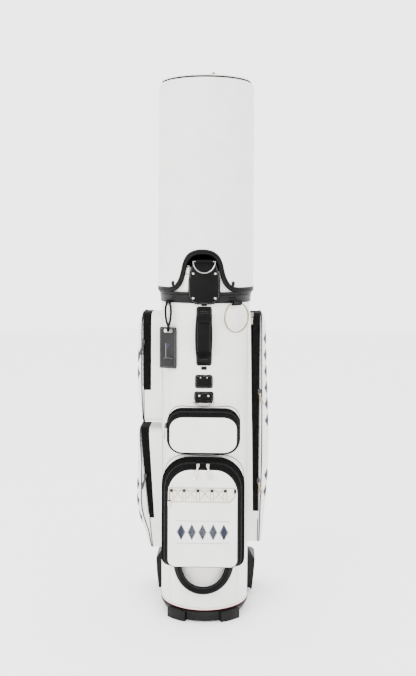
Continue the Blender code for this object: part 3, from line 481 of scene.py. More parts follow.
def build_hood():
    edge = hood_edge()
    part = Part("hood_leather", "hood", "black", "tape")
    body_top = HOOD_TOP - 0.0110
    rows, mats = [], []

    def ring(radius, height, ripple=0.0, mat=0):
        points = []
        for azimuth, low in edge:
            z = low + (body_top - low) * height
            fade = math.sin(math.pi * min(max(height, 0.0), 1.0)) ** 0.5 * ripple
            points.append(polar(azimuth, radius + soft_ripple(azimuth, z) * fade, z))
        rows.append(points)
        mats.append(mat)

    ring(HOOD_R - 0.0022, 0.0)
    ring(HOOD_R - 0.0004, 0.0)
    for k in range(1, 29):
        ring(HOOD_R, (k - 0.5) / 28, 1.0)
    ring(HOOD_R - 0.0001, 1.0)
    for radius, down, mat in ((-0.0004, 0.0100, 0), (-0.0014, 0.0080, 0), (-0.0032, 0.0060, 0),
                              (-0.0056, 0.0046, 0), (-0.0062, 0.0042, 2), (-0.0068, 0.0003, 2),
                              (-0.0092, 0.0001, 2), (-0.0094, 0.0012, 1)):
        rows.append([polar(a, HOOD_R + radius, HOOD_TOP - down) for a, _ in edge])
        mats.append(mat)
    ring(HOOD_R - 0.0050, 1.0, 0.0, 1)
    for k in range(9, -1, -1):
        ring(HOOD_R - 0.0032, k / 10 + 0.004, 0.0, 1)
    part.surface(rows, mats)
    part.finish("hood", "hood_shell")

    trim = Part("hood_trim", "hood", "white_thread", "teeth")
    ring_path = circle(HOOD_R - 0.0056, HOOD_TOP - 0.0042)
    out = outwards()
    trim.sweep(ring_path, out, circle_section(0.0009), True, 0)
    stitch_low = circle(HOOD_R + 0.0001, body_top - 0.0020)
    trim.dashes(stitch_low, out, *STITCH, True, 1)
    above = [polar(a, HOOD_R + 0.0002 + soft_ripple(a, z + 0.003) * 0.2, z + 0.0026)
             for a, z in edge]
    trim.dashes(above, [outward(a) for a, _ in edge], *STITCH, True, 1)
    for side in (-1, 1):
        seam = [polar(math.pi + side * 0.022, HOOD_R + 0.0004, 0.775 + 0.46 * k / 40)
                for k in range(41)]
        trim.dashes(seam, [outward(math.pi + side * 0.022)] * 41, *STITCH, False, 1)
    welt = [polar(math.pi, HOOD_R - 0.0004, 0.772 + 0.472 * k / 60) for k in range(61)]
    trim.sweep(welt, [outward(math.pi)] * 61, circle_section(0.0015), False, 0)
    trim.sweep([polar(a, HOOD_R + 0.0001, HOOD_TOP - 0.0062) for a in REAR],
               [outward(a) for a in REAR], rounded_section(0.0060, -0.0006, 0.0006, 0.0003), False,
               0)
    for k in range(170):
        azimuth = TAU * k / 170
        trim.capsule(polar(azimuth, HOOD_R - 0.0076, HOOD_TOP - 0.0004), outward(azimuth),
                     (0, 0, 1), 0.0026, 0.0020, 0.0010, 2)
    trim.finish("hood", ())

    build_binding(edge)


def band_path(edge, offset):
    """A closed path a distance below the hood's edge, as points and normals."""
    count = len(edge)
    flat = [(a * HOOD_R, z) for a, z in edge]
    points = []
    for i in range(count):
        ax, az = flat[i - 1]
        bx, bz = flat[(i + 1) % count]
        if i == 0:
            ax -= TAU * HOOD_R
        if i == count - 1:
            bx += TAU * HOOD_R
        dx, dz = bx - ax, bz - az
        length = math.hypot(dx, dz)
        points.append((flat[i][0] + dz / length * offset, flat[i][1] - dx / length * offset))
    return points


def build_binding(edge):
    middle = band_path(edge, BINDING / 2)
    part = Part("hood_edge_binding", "black", "dark_thread")
    path = [polar(s / HOOD_R, HOOD_R, z) for s, z in middle]
    normals = [outward(s / HOOD_R) for s, _ in middle]
    half = BINDING / 2 + 0.0013
    section = [(-half + 0.0008, -0.0058), (half - 0.0008, -0.0058), (half, -0.0046),
               (half, -0.0008), (half - 0.0012, 0.0003), (half * 0.4, 0.0008),
               (-half * 0.4, 0.0008), (-half + 0.0012, 0.0003), (-half, -0.0008),
               (-half, -0.0046)]
    part.sweep(path, normals, section, True, 0)
    for offset in (0.0019, BINDING - 0.0019):
        line = band_path(edge, offset)
        part.dashes([polar(s / HOOD_R, HOOD_R + 0.0004, z) for s, z in line],
                    [outward(s / HOOD_R) for s, _ in line], 0.0040, 0.0028, 0.0007, 0.0005,
                    True, 1)
    part.finish("hood", "hood_binding")


def build_lid():
    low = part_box("hood_lid")[0]
    part = Part("hood_lid_leather", "hood", "tape", "black")
    rim = HOOD_R - 0.0068
    profile = [(0.0, low[2] + 0.0020), (rim - 0.0060, low[2] + 0.0018),
               (rim - 0.0045, low[2] + 0.0005), (rim - 0.0006, low[2] + 0.0003),
               (rim - 0.0003, low[2] + 0.0006), (rim, low[2] + 0.0014),
               (rim - 0.0003, low[2] + 0.0024), (rim - 0.0016, low[2] + 0.0036),
               (rim - 0.0042, low[2] + 0.0042), (rim - 0.0120, low[2] + 0.0045),
               (0.070, low[2] + 0.0046), (0.035, low[2] + 0.0046), (0.004, low[2] + 0.0046)]
    made = part.surface([circle(r, z) for r, z in profile[1:]], [2, 1, 1, 0, 0, 0, 0, 0, 0, 0, 0])
    part.fan(made[0], (0, 0, profile[0][1]), 2)
    part.fan(made[-1], (0, 0, profile[-1][1] + 0.0001), 0)
    part.finish("hood_lid", "hood_lid")
    trim = Part("hood_lid_piping", "hood", "white_thread")
    trim.sweep(circle(rim - 0.0003, low[2] + 0.0022), outwards(), circle_section(0.0009), True, 0)
    up = [UP] * 96
    trim.dashes(circle(rim - 0.0090, low[2] + 0.0044), up, *STITCH, True, 1)
    trim.sweep([polar(a, HOOD_R - 0.0052, low[2] + 0.0004) for a in REAR], up[:25],
               rounded_section(0.0058, -0.0004, 0.0006, 0.0003), False, 0)
    trim.finish("hood_lid", ())


# ---------------------------------------------------------------- body and mouth

def build_skin():
    part = Part("body_leather", "white", "black", "red")
    count = 144
    rows, mats = [], []

    def ring(lift, z, mat=0, ripple=0.0):
        rows.append([polar(TAU * k / count,
                           body_radius(z) + lift + soft_ripple(TAU * k / count, z) * ripple, z)
                     for k in range(count)])
        mats.append(mat)

    low, high = BODY_LOW, BODY_HIGH
    ring(-0.0018, low, 1)
    ring(-0.0002, low, 1)
    ring(0.0004, low + 0.0010, 1)
    ring(0.0002, low + 0.0022, 2)
    ring(0.0001, low + 0.0029, 0)
    ring(0.0003, low + 0.0036, 0)
    for k in range(40):
        ring(-0.0001, low + 0.006 + (high - low - 0.010) * k / 39, 0, 0.55)
    ring(-0.0004, high - 0.0006, 0)
    ring(-0.0018, high, 0)
    part.surface(rows, mats)
    for azimuth in (-50, 49, 180):
        angle = math.radians(azimuth)
        path = [polar(angle, body_radius(z) + soft_ripple(angle, z) * 0.5 - 0.0004, z)
                for z in (low + 0.005 + (high - low - 0.008) * k / 80 for k in range(81))]
        part.sweep(path, [outward(angle)] * 81, circle_section(0.0011, 8, 0.9), False, 0)
    part.finish("bag", "body_skin")

    trim = Part("body_stitching", "grey_thread", "white_thread")
    hem = [polar(TAU * k / count, body_radius(low + 0.007) + 0.0002, low + 0.0072)
           for k in range(count)]
    trim.dashes(hem, outwards(count), 0.0062, 0.0042, 0.0011,
                0.0006, True, 0)
    for azimuth in (-50, 49, 180):
        for side in (-1, 1):
            angle = math.radians(azimuth + side * 1.5)
            line = [polar(angle, body_radius(z) + soft_ripple(angle, z) * 0.55 + 0.0001, z)
                    for z in (low + 0.010 + (high - low - 0.016) * k / 60 for k in range(61))]
            trim.dashes(line, [outward(angle)] * 61, 0.0046, 0.0031, 0.0006, 0.0005, False, 1)
    trim.finish("bag", ())


def build_cuff():
    low, high = CUFF_LOW[2], CUFF_HIGH[2]
    radius = CUFF_HIGH[0]
    part = Part("cuff_leather", "white", "white_thread", "black")
    profile = [(radius - 0.0024, low), (radius - 0.0002, low), (radius, low + 0.004),
               (radius + 0.0002, low + 0.020), (radius, high - 0.0070),
               (radius - 0.0007, high - 0.0062), (radius + 0.0003, high - 0.0048),
               (radius + 0.0002, high - 0.0014), (radius - 0.0008, high),
               (radius - 0.0024, high - 0.0002), (radius - 0.0032, high - 0.0020),
               (radius - 0.0026, high - 0.010), (radius - 0.0024, low + 0.001)]
    part.surface([circle(r, z, 120) for r, z in profile])
    out = outwards(120)
    part.dashes(circle(radius + 0.0001, high - 0.0095, 120), out, *STITCH, True, 1)
    part.finish("bag", "cuff")

    strap = Part("cuff_strap_end", "white", "white_thread", "chrome")
    azimuth = math.radians(-21.5)
    out, side = outward(azimuth), sideways(azimuth)
    path, normals = [], []
    for z, lift in ((0.764, 0.0016), (0.780, 0.0016), (0.796, 0.0018), (0.806, 0.0022),
                    (0.8125, 0.0020), (0.8165, 0.0004)):
        path.append(polar(azimuth, radius + lift, z))
        normals.append(out)
    strap.sweep(path, normals, rounded_section(0.0085, -0.0010, 0.0010, 0.0008), False, 0)
    for across in (-0.0066, 0.0066):
        strap.dashes([p + side * across + out * 0.0009 for p in path[:-1]], normals[:-1], 0.0040,
                     0.0028, 0.0006, 0.0005, False, 1)
    loop = [polar(azimuth, radius + 0.0046, 0.8100) + side * x + Vector((0, 0, z))
            for x, z in rounded_outline(0.0070, -0.0095, 0.0095, 0.0020, 0.0020, 3, 3)]
    strap.sweep(loop, [out] * len(loop), circle_section(0.0010), True, 2)
    strap.finish("bag", ())


# ---------------------------------------------------------------- sewn pieces on the body

def cushion(part, outline_at, steps, place, centre, mats, inner=(0.8, 0.55, 0.3, 0.1), crown=0.0):
    """A sewn panel: rows inset from an outline at given lifts, then closed over the middle."""
    rows = [[place(x, z, lift) for x, z in outline_at(inset)] for inset, lift in steps]
    last_inset, last_lift = steps[-1]
    for share in inner:
        lift = last_lift + crown * (1 - share ** 2)
        rows.append([place(x, z, lift) for x, z in scaled(outline_at(last_inset), share, centre)])
    made = part.surface(rows, mats + [mats[-1]] * len(inner))
    part.fan(made[-1], place(centre[0], centre[1], last_lift + crown), mats[-1])
    return made


def edge_line(outline_at, inset, place, lift):
    outline = outline_at(inset)
    points = [place(x, z, lift) for x, z in outline]
    normals = [place(x, z, lift + 0.01) - place(x, z, lift) for x, z in outline]
    return points, normals


def loft(part, stations, mat=0):
    """Sections of (point, normal, across, outline) joined in turn and closed at both ends."""
    rows = [[point + across * a + normal * o for a, o in section]
            for point, normal, across, section in stations]
    part.cap(part.surface(rows, mat), mat)


def build_patch():
    low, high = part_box("handle_patch")
    radius = COLLAR_R + 0.0004
    half = high[0]

    def place(x, z, lift):
        below = min(max((0.7400 - z) / 0.010, 0.0), 1.0)
        r = radius + lift - 0.0008 * below
        return Vector((x, -math.sqrt(r ** 2 - x ** 2), z))

    def outline_at(inset):
        outline = rounded_outline(half - inset, low[2] + inset, high[2] - inset,
                                  0.022 - inset * 0.6, 0.012 - inset * 0.6, 8, 6)
        shaped = []
        for x, z in outline:
            near_top = 1.0 - min(max((high[2] - z) / 0.050, 0.0), 1.0)
            shaped.append((x * (1 - 0.33 * near_top ** 1.4), z))
        return shaped

    part = Part("handle_patch_leather", "black", "grey_thread")
    centre = (0.0, (low[2] + high[2]) / 2)
    cushion(part, outline_at, [(0.0012, 0.0), (0.0, 0.0006), (0.0, 0.0020), (0.0010, 0.0029),
                               (0.0022, 0.0028), (0.0032, 0.0023), (0.0042, 0.0028),
                               (0.0070, 0.0031)], place, centre, [0] * 7, crown=0.0004)
    points, normals = edge_line(outline_at, 0.0032, place, 0.0023)
    part.dashes(points, normals, 0.0042, 0.0029, 0.0007, 0.0006, True, 1)
    part.finish("bag", "handle_patch")

    roll = Part("patch_ring_keeper", "black", "grey_thread")
    bar_y, bar_z = -0.1172, 0.8300
    stations = []
    for k in range(17):
        x = -0.0200 + 0.0400 * k / 16
        swell = 0.0040 + 0.0003 * math.sin(math.pi * k / 16)
        stations.append((Vector((x, bar_y, bar_z)), FORWARD, UP,
                         circle_section(swell, 12)))
    loft(roll, stations)
    roll.finish("bag", ())


def build_carry_handle():
    low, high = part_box("carry_handle")
    bottom, top = low[2], high[2]
    part = Part("carry_handle_padded", "padded", "dark_thread")
    length = top - bottom
    stations = []
    steps = 48
    for k in range(steps + 1):
        share = k / steps
        z = bottom + length * share
        rise = min(share, 1 - share) * length
        lift = 0.5 - 0.5 * math.cos(math.pi * min(max((rise - 0.014) / 0.024, 0.0), 1.0))
        slope = 0.5 * math.pi * math.sin(math.pi * min(max((rise - 0.014) / 0.024, 0.0), 1.0))
        tilt = slope * 0.0195 / 0.024 * (1 if share < 0.5 else -1)
        thick = 0.0034 + 0.0036 * lift
        inner = body_radius(z) + 0.0006 + 0.0185 * lift
        half = 0.0178 + 0.0022 * math.sin(math.pi * share) ** 2
        end = min(rise / 0.005, 1.0)
        half *= math.sqrt(1 - (1 - end) ** 2 * 0.3)
        normal = Vector((0, -1, tilt)).normalized()
        bow = 0.0018 * (1 - lift)
        section = []
        for a, o in rounded_section(half, 0.0, thick, thick * 0.46, 4):
            section.append((a, o - bow * (a / half) ** 2 + 0.0006 * (1 - (a / half) ** 2)))
        stations.append((Vector((0, -inner, z)), normal, Vector((1, 0, 0)), section))
    loft(part, stations)
    for side in (-1, 1):
        line = [p + n * (0.0032 + 0.0036 * min(max((min(k, steps - k) - 5) / 8, 0), 1))
                + Vector((side * 0.0142, 0, 0)) for k, (p, n, _, _) in enumerate(stations)][1:-1]
        part.dashes(line, [s[1] for s in stations][1:-1], 0.0046, 0.0032, 0.0008, 0.0010, False, 1)
    for end in (0, -1):
        z = bottom + 0.0150 if end == 0 else top - 0.0150
        for row in (0.0, 0.0040):
            height = z - row if end == 0 else z + row
            line = [on_body(x, height, 0.0046) for x in (-0.0105, -0.0035, 0.0035, 0.0105)]
            part.dashes(line, [radial(p) for p in line], 0.0042, 0.0030, 0.0008, 0.0008, False, 1)
    obj = part.finish("bag", "carry_handle")

    marks = Part("carry_handle_anchors", "black", "dark_thread")
    for z in (bottom - 0.0100, top + 0.0012):
        height = 0.0075 if z < bottom else 0.0048

        def outline_at(inset, z=z, height=height):
            return rounded_outline(0.0065 - inset, z + inset, z + height - inset, 0.0012, 0.0012,
                                   3, 3)

        cushion(marks, outline_at, [(0.0, 0.0), (0.0, 0.0010), (0.0008, 0.0016)], on_body,
                (0.0, z + height / 2), [0, 0])
        points, normals = edge_line(outline_at, 0.0014, on_body, 0.0016)
        marks.dashes(points, normals, 0.0032, 0.0022, 0.0006, 0.0005, True, 1)
    marks.finish("bag", ())


def build_tabs():
    for name, thick, roll in (("upper_tab", 0.0024, False), ("lower_tab", 0.0028, True)):
        low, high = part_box(name)
        half = high[0]
        bottom = low[2] + (0.0036 if roll else 0.0)

        def outline_at(inset, half=half, bottom=bottom, top=high[2]):
            return rounded_outline(half - inset, bottom + inset, top - inset,
                                   0.0050 - inset * 0.6, 0.0060 - inset * 0.6, 6, 5)

        part = Part(f"{name}_leather", "black", "grey_thread")
        centre = (0.0, (bottom + high[2]) / 2)
        cushion(part, outline_at, [(0.0, -0.0004), (0.0, thick * 0.6), (0.0008, thick),
                                   (0.0019, thick - 0.0003), (0.0028, thick - 0.0006),
                                   (0.0038, thick - 0.0002)], on_body, centre, [0] * 5,
                crown=0.0001)
        points, normals = edge_line(outline_at, 0.0028, on_body, thick - 0.0006)
        part.dashes(points, normals, 0.0038, 0.0026, 0.0007, 0.0006, True, 1)
        if roll:
            stations = [(Vector((-0.0195 + 0.039 * k / 14, -0.1090, 0.5080)), FORWARD,
                         UP, circle_section(0.0033 + 0.0002 * math.sin(k), 12))
                        for k in range(15)]
            loft(part, stations)
        part.finish("bag", name)


def build_loop(name, azimuth, width):
    """Webbing folded over and sewn under the collar, with a bartack."""
    angle = math.radians(azimuth)
    out, side = outward(angle), sideways(angle)
    middle = polar(angle, LOOP_R, LOOP_Z)
    part = Part(f"{name}_webbing", "webbing", "dark_thread")
    outer = [(-0.0068, 0.0064), (-0.0010, 0.0062)] + arc(0, 0, 0.0062, 75, -255, 22)
    outer.append((-0.0068, 0.0050))
    inner = [(-0.0066, 0.0060), (-0.0010, 0.0050)] + arc(0, 0, 0.0046, 75, -255, 22)
    inner.append((-0.0066, 0.0054))
    rows = []
    for outline, across in ((inner, -width), (outer, -width * 0.96), (outer, -width * 0.5),
                            (outer, 0.0), (outer, width * 0.5), (outer, width * 0.96),
                            (inner, width), (inner, 0.0), (inner, -width)):
        rows.append([middle + out * a + Vector((0, 0, b)) + side * across for a, b in outline])
    part.surface(rows, 0)
    for k in range(max(2, round(width / 0.0016))):
        across = -width * 0.85 + 1.7 * width * k / (max(2, round(width / 0.0016)) - 1)
        for down in (-0.0022, -0.0044):
            part.capsule(middle + out * 0.0061 + Vector((0, 0, down + 0.0040)) + side * across,
                         side, out, 0.0014, 0.0007, 0.0006, 1)
    part.finish("bag", name)


# ---------------------------------------------------------------- tag

def smooth_loop(points, steps):
    """A closed curve through all the points."""
    points = [Vector(p) for p in points]
    count = len(points)
    curve = []
    for i in range(count):
        a, b, c, d = (points[(i + k) % count] for k in (-1, 0, 1, 2))
        for k in range(steps):
            t = k / steps
            curve.append(0.5 * (2 * b + (c - a) * t + (2 * a - 5 * b + 4 * c - d) * t ** 2
                                + (3 * b - a - 3 * c + d) * t ** 3))
    return curve


def build_tag():
    angle, facing = math.radians(TAG_AZIMUTH), math.radians(-22.0)
    out, side = outward(facing), sideways(facing)

    def place(x, z, lift):
        return polar(angle, LOOP_R, z) + out * lift + side * x

    def outline_at(inset):
        return rounded_outline(0.0215 - inset, 0.5800 + inset, 0.6760 - inset,
                               0.0034 - inset * 0.3, 0.0034 - inset * 0.3, 8, 6)

    slot = rounded_outline(0.0118, 0.6630, 0.6712, 0.0035, 0.0035, 8, 6)
    slot_rim = rounded_outline(0.0128, 0.6620, 0.6722, 0.0045, 0.0045, 8, 6)
    part = Part("luggage_tag_panel", "rubber", "grey_thread", "navy_thread")
    front = [(outline_at(0.0), 0.0010), (outline_at(0.0006), 0.0017), (outline_at(0.0022), 0.0015),
             (outline_at(0.0030), 0.0012), (outline_at(0.0038), 0.0015)]
    for share in (0.3, 0.6, 0.9):
        front.append((blend_outlines(outline_at(0.0038), slot_rim, share), 0.0015))
    front += [(slot_rim, 0.0017), (slot, 0.0012)]
    rows = [[place(x, z, lift) for x, z in outline] for outline, lift in front]
    rows += [[place(x, z, -lift) for x, z in outline] for outline, lift in reversed(front)]
    rows.append(rows[0])
    part.surface(rows, 0)
    for sign in (-1, 1):
        points = [place(x, z, sign * 0.0012) for x, z in outline_at(0.0030)]
        part.dashes(points, [out * sign] * len(points), 0.0036, 0.0025, 0.0008, 0.0006, True, 1)
        flag_pole = [place(-0.0050, 0.6040 + 0.034 * k / 8, sign * 0.0016) for k in range(9)]
        part.sweep(flag_pole, [out * sign] * 9, rounded_section(0.0007, -0.0003, 0.0006, 0.0003),
                   False, 1)
        for k in range(6):
            z = 0.6365 - 0.0022 * k
            reach = 0.0125 * (1 - k / 6.5)
            part.capsule(place(-0.0043 + reach / 2, z, sign * 0.0016), side, out * sign, reach,
                         0.0020, 0.0006, 2)
        mound = [place(-0.0115 + 0.0230 * k / 12, 0.6040 - 0.0016 * (k / 6 - 1) ** 2, sign * 0.0016)
                 for k in range(13)]
        part.dashes(mound, [out * sign] * 13, 0.0030, 0.0022, 0.0008, 0.0006, False, 1)
    part.finish("luggage_tag", "luggage_tag")

    z, low, reach, step = LOOP_Z, 0.6670, 0.0115, 0.0048
    route = [(0.0, z + 0.0012, 0), (-0.0062, z - 0.0038, 0), (-reach, z - 0.0200, -0.0010),
             (-reach, z - 0.0430, -0.0035), (-0.0050, low + 0.0080, -step),
             (-0.0030, low + 0.0010, -step * 0.8), (0.0, low, 0),
             (0.0030, low + 0.0010, step * 0.8), (0.0050, low + 0.0080, step),
             (reach, z - 0.0430, 0.0035), (reach, z - 0.0200, 0.0010),
             (0.0062, z - 0.0038, 0)]
    out, side = outward(angle), sideways(angle)
    path = smooth_loop([place(x, height, lift) for x, height, lift in route], 8)
    strap = Part("tag_strap_cord", "webbing", "dark_thread")
    section = [(a * (1 + 0.06 * (i % 2)), o) for i, (a, o) in enumerate(circle_section(0.0027, 12))]
    strap.sweep(path, [out] * len(path), section, True, 0)
    strap.dashes(path, [out] * len(path), 0.0032, 0.0022, 0.0008, 0.0031, True, 1)
    strap.finish("luggage_tag", "tag_strap")


# ---------------------------------------------------------------- bottom handle

def build_bottom_handle():
    outer = bezier((-0.0715, 0.137), (-0.0725, 0.093), (-0.040, 0.0705), (0.0, 0.0705), count=22)
    inner = bezier((-0.050, 0.137), (-0.052, 0.106), (-0.030, 0.088), (0.0, 0.088), count=22)
    outer += [(-x, z) for x, z in reversed(outer[:-1])]
    inner += [(-x, z) for x, z in reversed(inner[:-1])]
    part = Part("bottom_handle_padded", "padded", "dark_thread")
    rows, lines = [], ([], [])
    count = len(outer)
    back, axis = 0.0735, 0.0462     # radius of the strap's back, and how far forward its axis lies
    for k, ((ax, az), (bx, bz)) in enumerate(zip(outer, inner)):
        end = min(k, count - 1 - k) / 3.0
        plump = 1.0 if end >= 1 else 0.45 + 0.55 * math.sqrt(1 - (1 - end) ** 2)
        row = []
        for share, out in ((0.5, 0.0735), (0.12, 0.0737), (0.0, 0.0752), (0.0, 0.0772),
                           (0.10, 0.0790), (0.22, 0.0792), (0.38, 0.0801), (0.5, 0.0804),
                           (0.62, 0.0801), (0.78, 0.0792), (0.90, 0.0790), (1.0, 0.0772),
                           (1.0, 0.0752), (0.88, 0.0737)):
            x, z = ax + (bx - ax) * share, az + (bz - az) * share
            radius = back + (out - back) * plump
            row.append(Vector((x, -axis - math.sqrt(radius ** 2 - x ** 2), z)))
        rows.append(row)
        for line, share in zip(lines, (0.16, 0.84)):
            x, z = ax + (bx - ax) * share, az + (bz - az) * share
            radius = back + 0.0058 * plump
            line.append(Vector((x, -axis - math.sqrt(radius ** 2 - x ** 2), z)))
    part.cap(part.surface(rows))
    for line in lines:
        normals = [Vector((p.x, p.y + axis, 0)) for p in line]
        part.dashes(line, normals, 0.0046, 0.0032, 0.0008, 0.0007, False, 1)
    obj = part.finish("bag", "bottom_handle")


# ---------------------------------------------------------------- front pockets

FRONT = {
    "lower": dict(half=0.0935, low=0.1400, high=0.3840, r_low=0.018, r_high=0.060, split=0.1280,
                  front=0.1555, shoulder=(0.1500, 0.845, 0.900), face=(0.815, 0.875),
                  centre=0.1800),
    "upper": dict(half=0.0830, low=0.3920, high=0.4945, r_low=0.034, r_high=0.034, split=0.1220,
                  front=0.1400, shoulder=(0.1350, 0.955, 0.830), face=(0.935, 0.800),
                  centre=0.4145),
}


def front_outline(shape, inset=0.0, shrink=(1.0, 1.0)):
    outline = rounded_outline(shape["half"] - inset, shape["low"] + inset, shape["high"] - inset,
                              shape["r_low"] - inset, shape["r_high"] - inset, 10, 10)
    centre = shape["centre"]
    return [(x * shrink[0], centre + (z - centre) * shrink[1]) for x, z in outline]


def front_rows(shape, levels):
    """Rows of points for (depth, x scale, z scale, inset) levels."""
    rows = []
    for depth, scale_x, scale_z, inset in levels:
        rows.append([Vector((x, -depth, z))
                     for x, z in front_outline(shape, inset, (scale_x, scale_z))])
    return rows


def flat_normals(shape, shrink, tilt):
    outline = front_outline(shape, 0.0, shrink)
    return [Vector((nx, -tilt, nz)).normalized() for nx, nz in outline_normals(outline)]


def zip_line(part, lower, upper, teeth):
    """Interlocked teeth along the middle of a zip band, from the band's two edges."""
    middle = [(a + b) / 2 for a, b in zip(lower, upper)]
    count = len(middle)
    normals = []
    for i in range(count):
        along = middle[(i + 1) % count] - middle[i - 1]
        normals.append(along.cross(lower[i] - upper[i]).normalized())
    centre = sum(middle, Vector()) / count
    flip = 1 if sum((m - centre).dot(n) for m, n in zip(middle, normals)) > 0 else -1
    normals = [n * flip for n in normals]
    for point, along, normal in walk(middle, normals, 0.0030, True):
        across = along.cross(normal).normalized()
        part.capsule(point + normal * 0.0003, across, normal, *TOOTH, teeth)


def between(shape, share, inset=0.0, lift=0.0):
    """A level on the zip band, from its edge at 0 to the shoulder at 1."""
    depth, sx, sz = shape["shoulder"]
    return (shape["split"] + 0.0003 + (depth - shape["split"]) * share + lift,
            1 + (sx - 1) * share, 1 + (sz - 1) * share, inset)


def build_front_pocket(name):
    build_front_cover(name, FRONT[name])
    build_front_trim(name, FRONT[name])
    build_front_tray(name, FRONT[name])


def build_front_cover(name, shape):
    split, front = shape["split"], shape["front"]
    depth, sx, sz = shape["shoulder"]
    fx, fz = shape["face"]
    cover = Part(f"front_{name}_cover_leather", "tape", "white", "lining", "black")
    band = ((0.0, 0.0024), (0.0,), (0.25, 0.0, 0.0004), (0.48, 0.0, 0.0005), (0.52, 0.0, 0.0005),
            (0.9,))
    levels = [between(shape, *where) for where in band]
    levels += [(depth + 0.0006, sx - 0.002, sz - 0.002, 0.0),
               (depth + (front - depth) * 0.55, sx * 0.6 + fx * 0.4, sz * 0.6 + fz * 0.4, 0.0),
               (front - 0.0007, fx, fz, 0.0), (front, fx, fz, 0.0018), (front, fx, fz, 0.0030)]
    rows = front_rows(shape, levels)
    mats = [0, 0, 0, 0, 0, 0] + ([3, 3, 3, 1] if name == "upper" else [3, 1, 1, 1])
    bulge = 0.0016
    face = front_outline(shape, 0.0030, (fx, fz))
    middle_z = (shape["low"] + shape["high"]) / 2
    centre = (0.0, shape["centre"] + (middle_z - shape["centre"]) * fz)
    for share in (0.86, 0.7, 0.5, 0.3, 0.12):
        swell = bulge * (1 - share ** 2)
        rows.append([Vector((x, -(front + swell * 0.3), z))
                     for x, z in scaled(face, share, centre)])
        mats.append(1)
    made = cover.surface(rows, mats)
    cover.fan(made[-1], Vector((centre[0], -(front + bulge * 0.3), centre[1])), 1)
    inside = front - LEATHER
    inner = front_rows(shape, [between(shape, 0.0, 0.0024), (split + 0.001, 1, 1, LEATHER),
                               (depth - LEATHER, sx, sz, LEATHER), (inside, fx, fz, LEATHER)])
    for share in (0.7, 0.35):
        inner.append([Vector((x, -inside, z))
                      for x, z in scaled(front_outline(shape, LEATHER, (fx, fz)), share, centre)])
    made = cover.surface(inner, 2)
    cover.fan(made[-1], Vector((0, -inside, centre[1])), 2)
    cover.finish(f"front_{name}_cover", f"front_{name}_cover")


def build_front_trim(name, shape):
    """Piping, stitching and zip teeth of a front cover."""
    depth, sx, sz = shape["shoulder"]
    fx, fz = shape["face"]
    trim = Part(f"front_{name}_cover_trim", "black", "teeth", "white_thread")
    shoulder = front_rows(shape, [(depth + 0.0004, sx, sz, 0.0)])[0]
    trim.sweep(shoulder, flat_normals(shape, (sx, sz), 0.9),
               circle_section(0.0018 if name == "lower" else 0.0013), True, 0)
    edge = front_rows(shape, [(shape["split"] + 0.0030, 0.997, 0.997, 0.0)])[0]
    trim.sweep(edge, flat_normals(shape, (1, 1), 0.4), circle_section(0.0011), True, 0)
    low_row, high_row = front_rows(shape, [between(shape, 0.1), between(shape, 0.9)])
    zip_line(trim, low_row, high_row, 1)
    stitch = front_rows(shape, [(shape["front"] + 0.0001, fx, fz, 0.0042)])[0]
    trim.dashes(stitch, [FORWARD] * len(stitch), *STITCH, True, 2)
    trim.finish(f"front_{name}_cover", ())


def build_front_tray(name, shape):
    split = shape["split"]
    tray = Part(f"front_{name}_tray_leather", "white", "black", "lining")
    outer = front_outline(shape)
    inner = front_outline(shape, LEATHER)
    rows, mats = [], []

    def wall_row(outline, share, sink=0.0):
        points = []
        for x, z in outline:
            start = on_body(x, z, 0.0004).y
            y = start + (-(split - 0.0003) - start) * share
            points.append(Vector((x * (1 - sink), y, z)))
        return points

    for share, mat in ((0.0, 0), (0.3, 0), (0.65, 0), (0.93, 1), (1.0, 1)):
        rows.append(wall_row(outer, share, 0.004 * math.sin(math.pi * share) if share < 0.9 else 0))
        mats.append(mat)
    for share in (1.0, 0.5, 0.02):
        rows.append(wall_row(inner, share))
        mats.append(2)
    centre = (0.0, (shape["low"] + shape["high"]) / 2)
    for share in (0.85, 0.6, 0.35, 0.12):
        rows.append([on_body(x, z, 0.0012) for x, z in scaled(inner, share, centre)])
        mats.append(2)
    made = tray.surface(rows, mats)
    tray.fan(made[-1], on_body(0.0, centre[1], 0.0012), 2)
    rim = [Vector((x, -(split - 0.0030), z)) for x, z in outer]
    tray.sweep(rim, flat_normals(shape, (1, 1), 0.2), circle_section(0.0013), True, 1)
    foot = [on_body(x, z, 0.0008) for x, z in outer]
    tray.sweep(foot, flat_normals(shape, (1, 1), 0.3), circle_section(0.0013), True, 1)
    tray.finish("bag", f"front_{name}_pocket")


# ---------------------------------------------------------------- side pockets

SIDE = {
    "left_upper": dict(side=-1, low=0.4440, high=0.7055, outer=(0.1500, 0.1615, 0.1600),
                       split=(0.1455, 0.1485), tape=(0.1285, 0.1285), zip_end=0.519, roll=0.012,
                       crown=0.009),
    "left_lower": dict(side=-1, low=0.1420, high=0.4270, outer=(0.1310, 0.1620, 0.1610),
                       split=(0.1210, 0.1560), tape=(0.1130, 0.1350), zip_end=0.213, roll=0.013,
                       crown=0.002),
    "right": dict(side=1, low=0.1590, high=0.7055, outer=(0.1370, 0.1525, 0.1450),
                  split=(0.1270, 0.1310), tape=(0.1165, 0.1085), zip_end=0.218, roll=0.022,
                  crown=0.004),
}
SIDE_FRONT, SIDE_BACK = -0.0300, 0.0850


def side_outline(shape):
    half, middle = (SIDE_BACK - SIDE_FRONT) / 2, (SIDE_BACK + SIDE_FRONT) / 2
    return rounded_outline(half, shape["low"], shape["high"], 0.018, 0.026, 26, 8, middle)


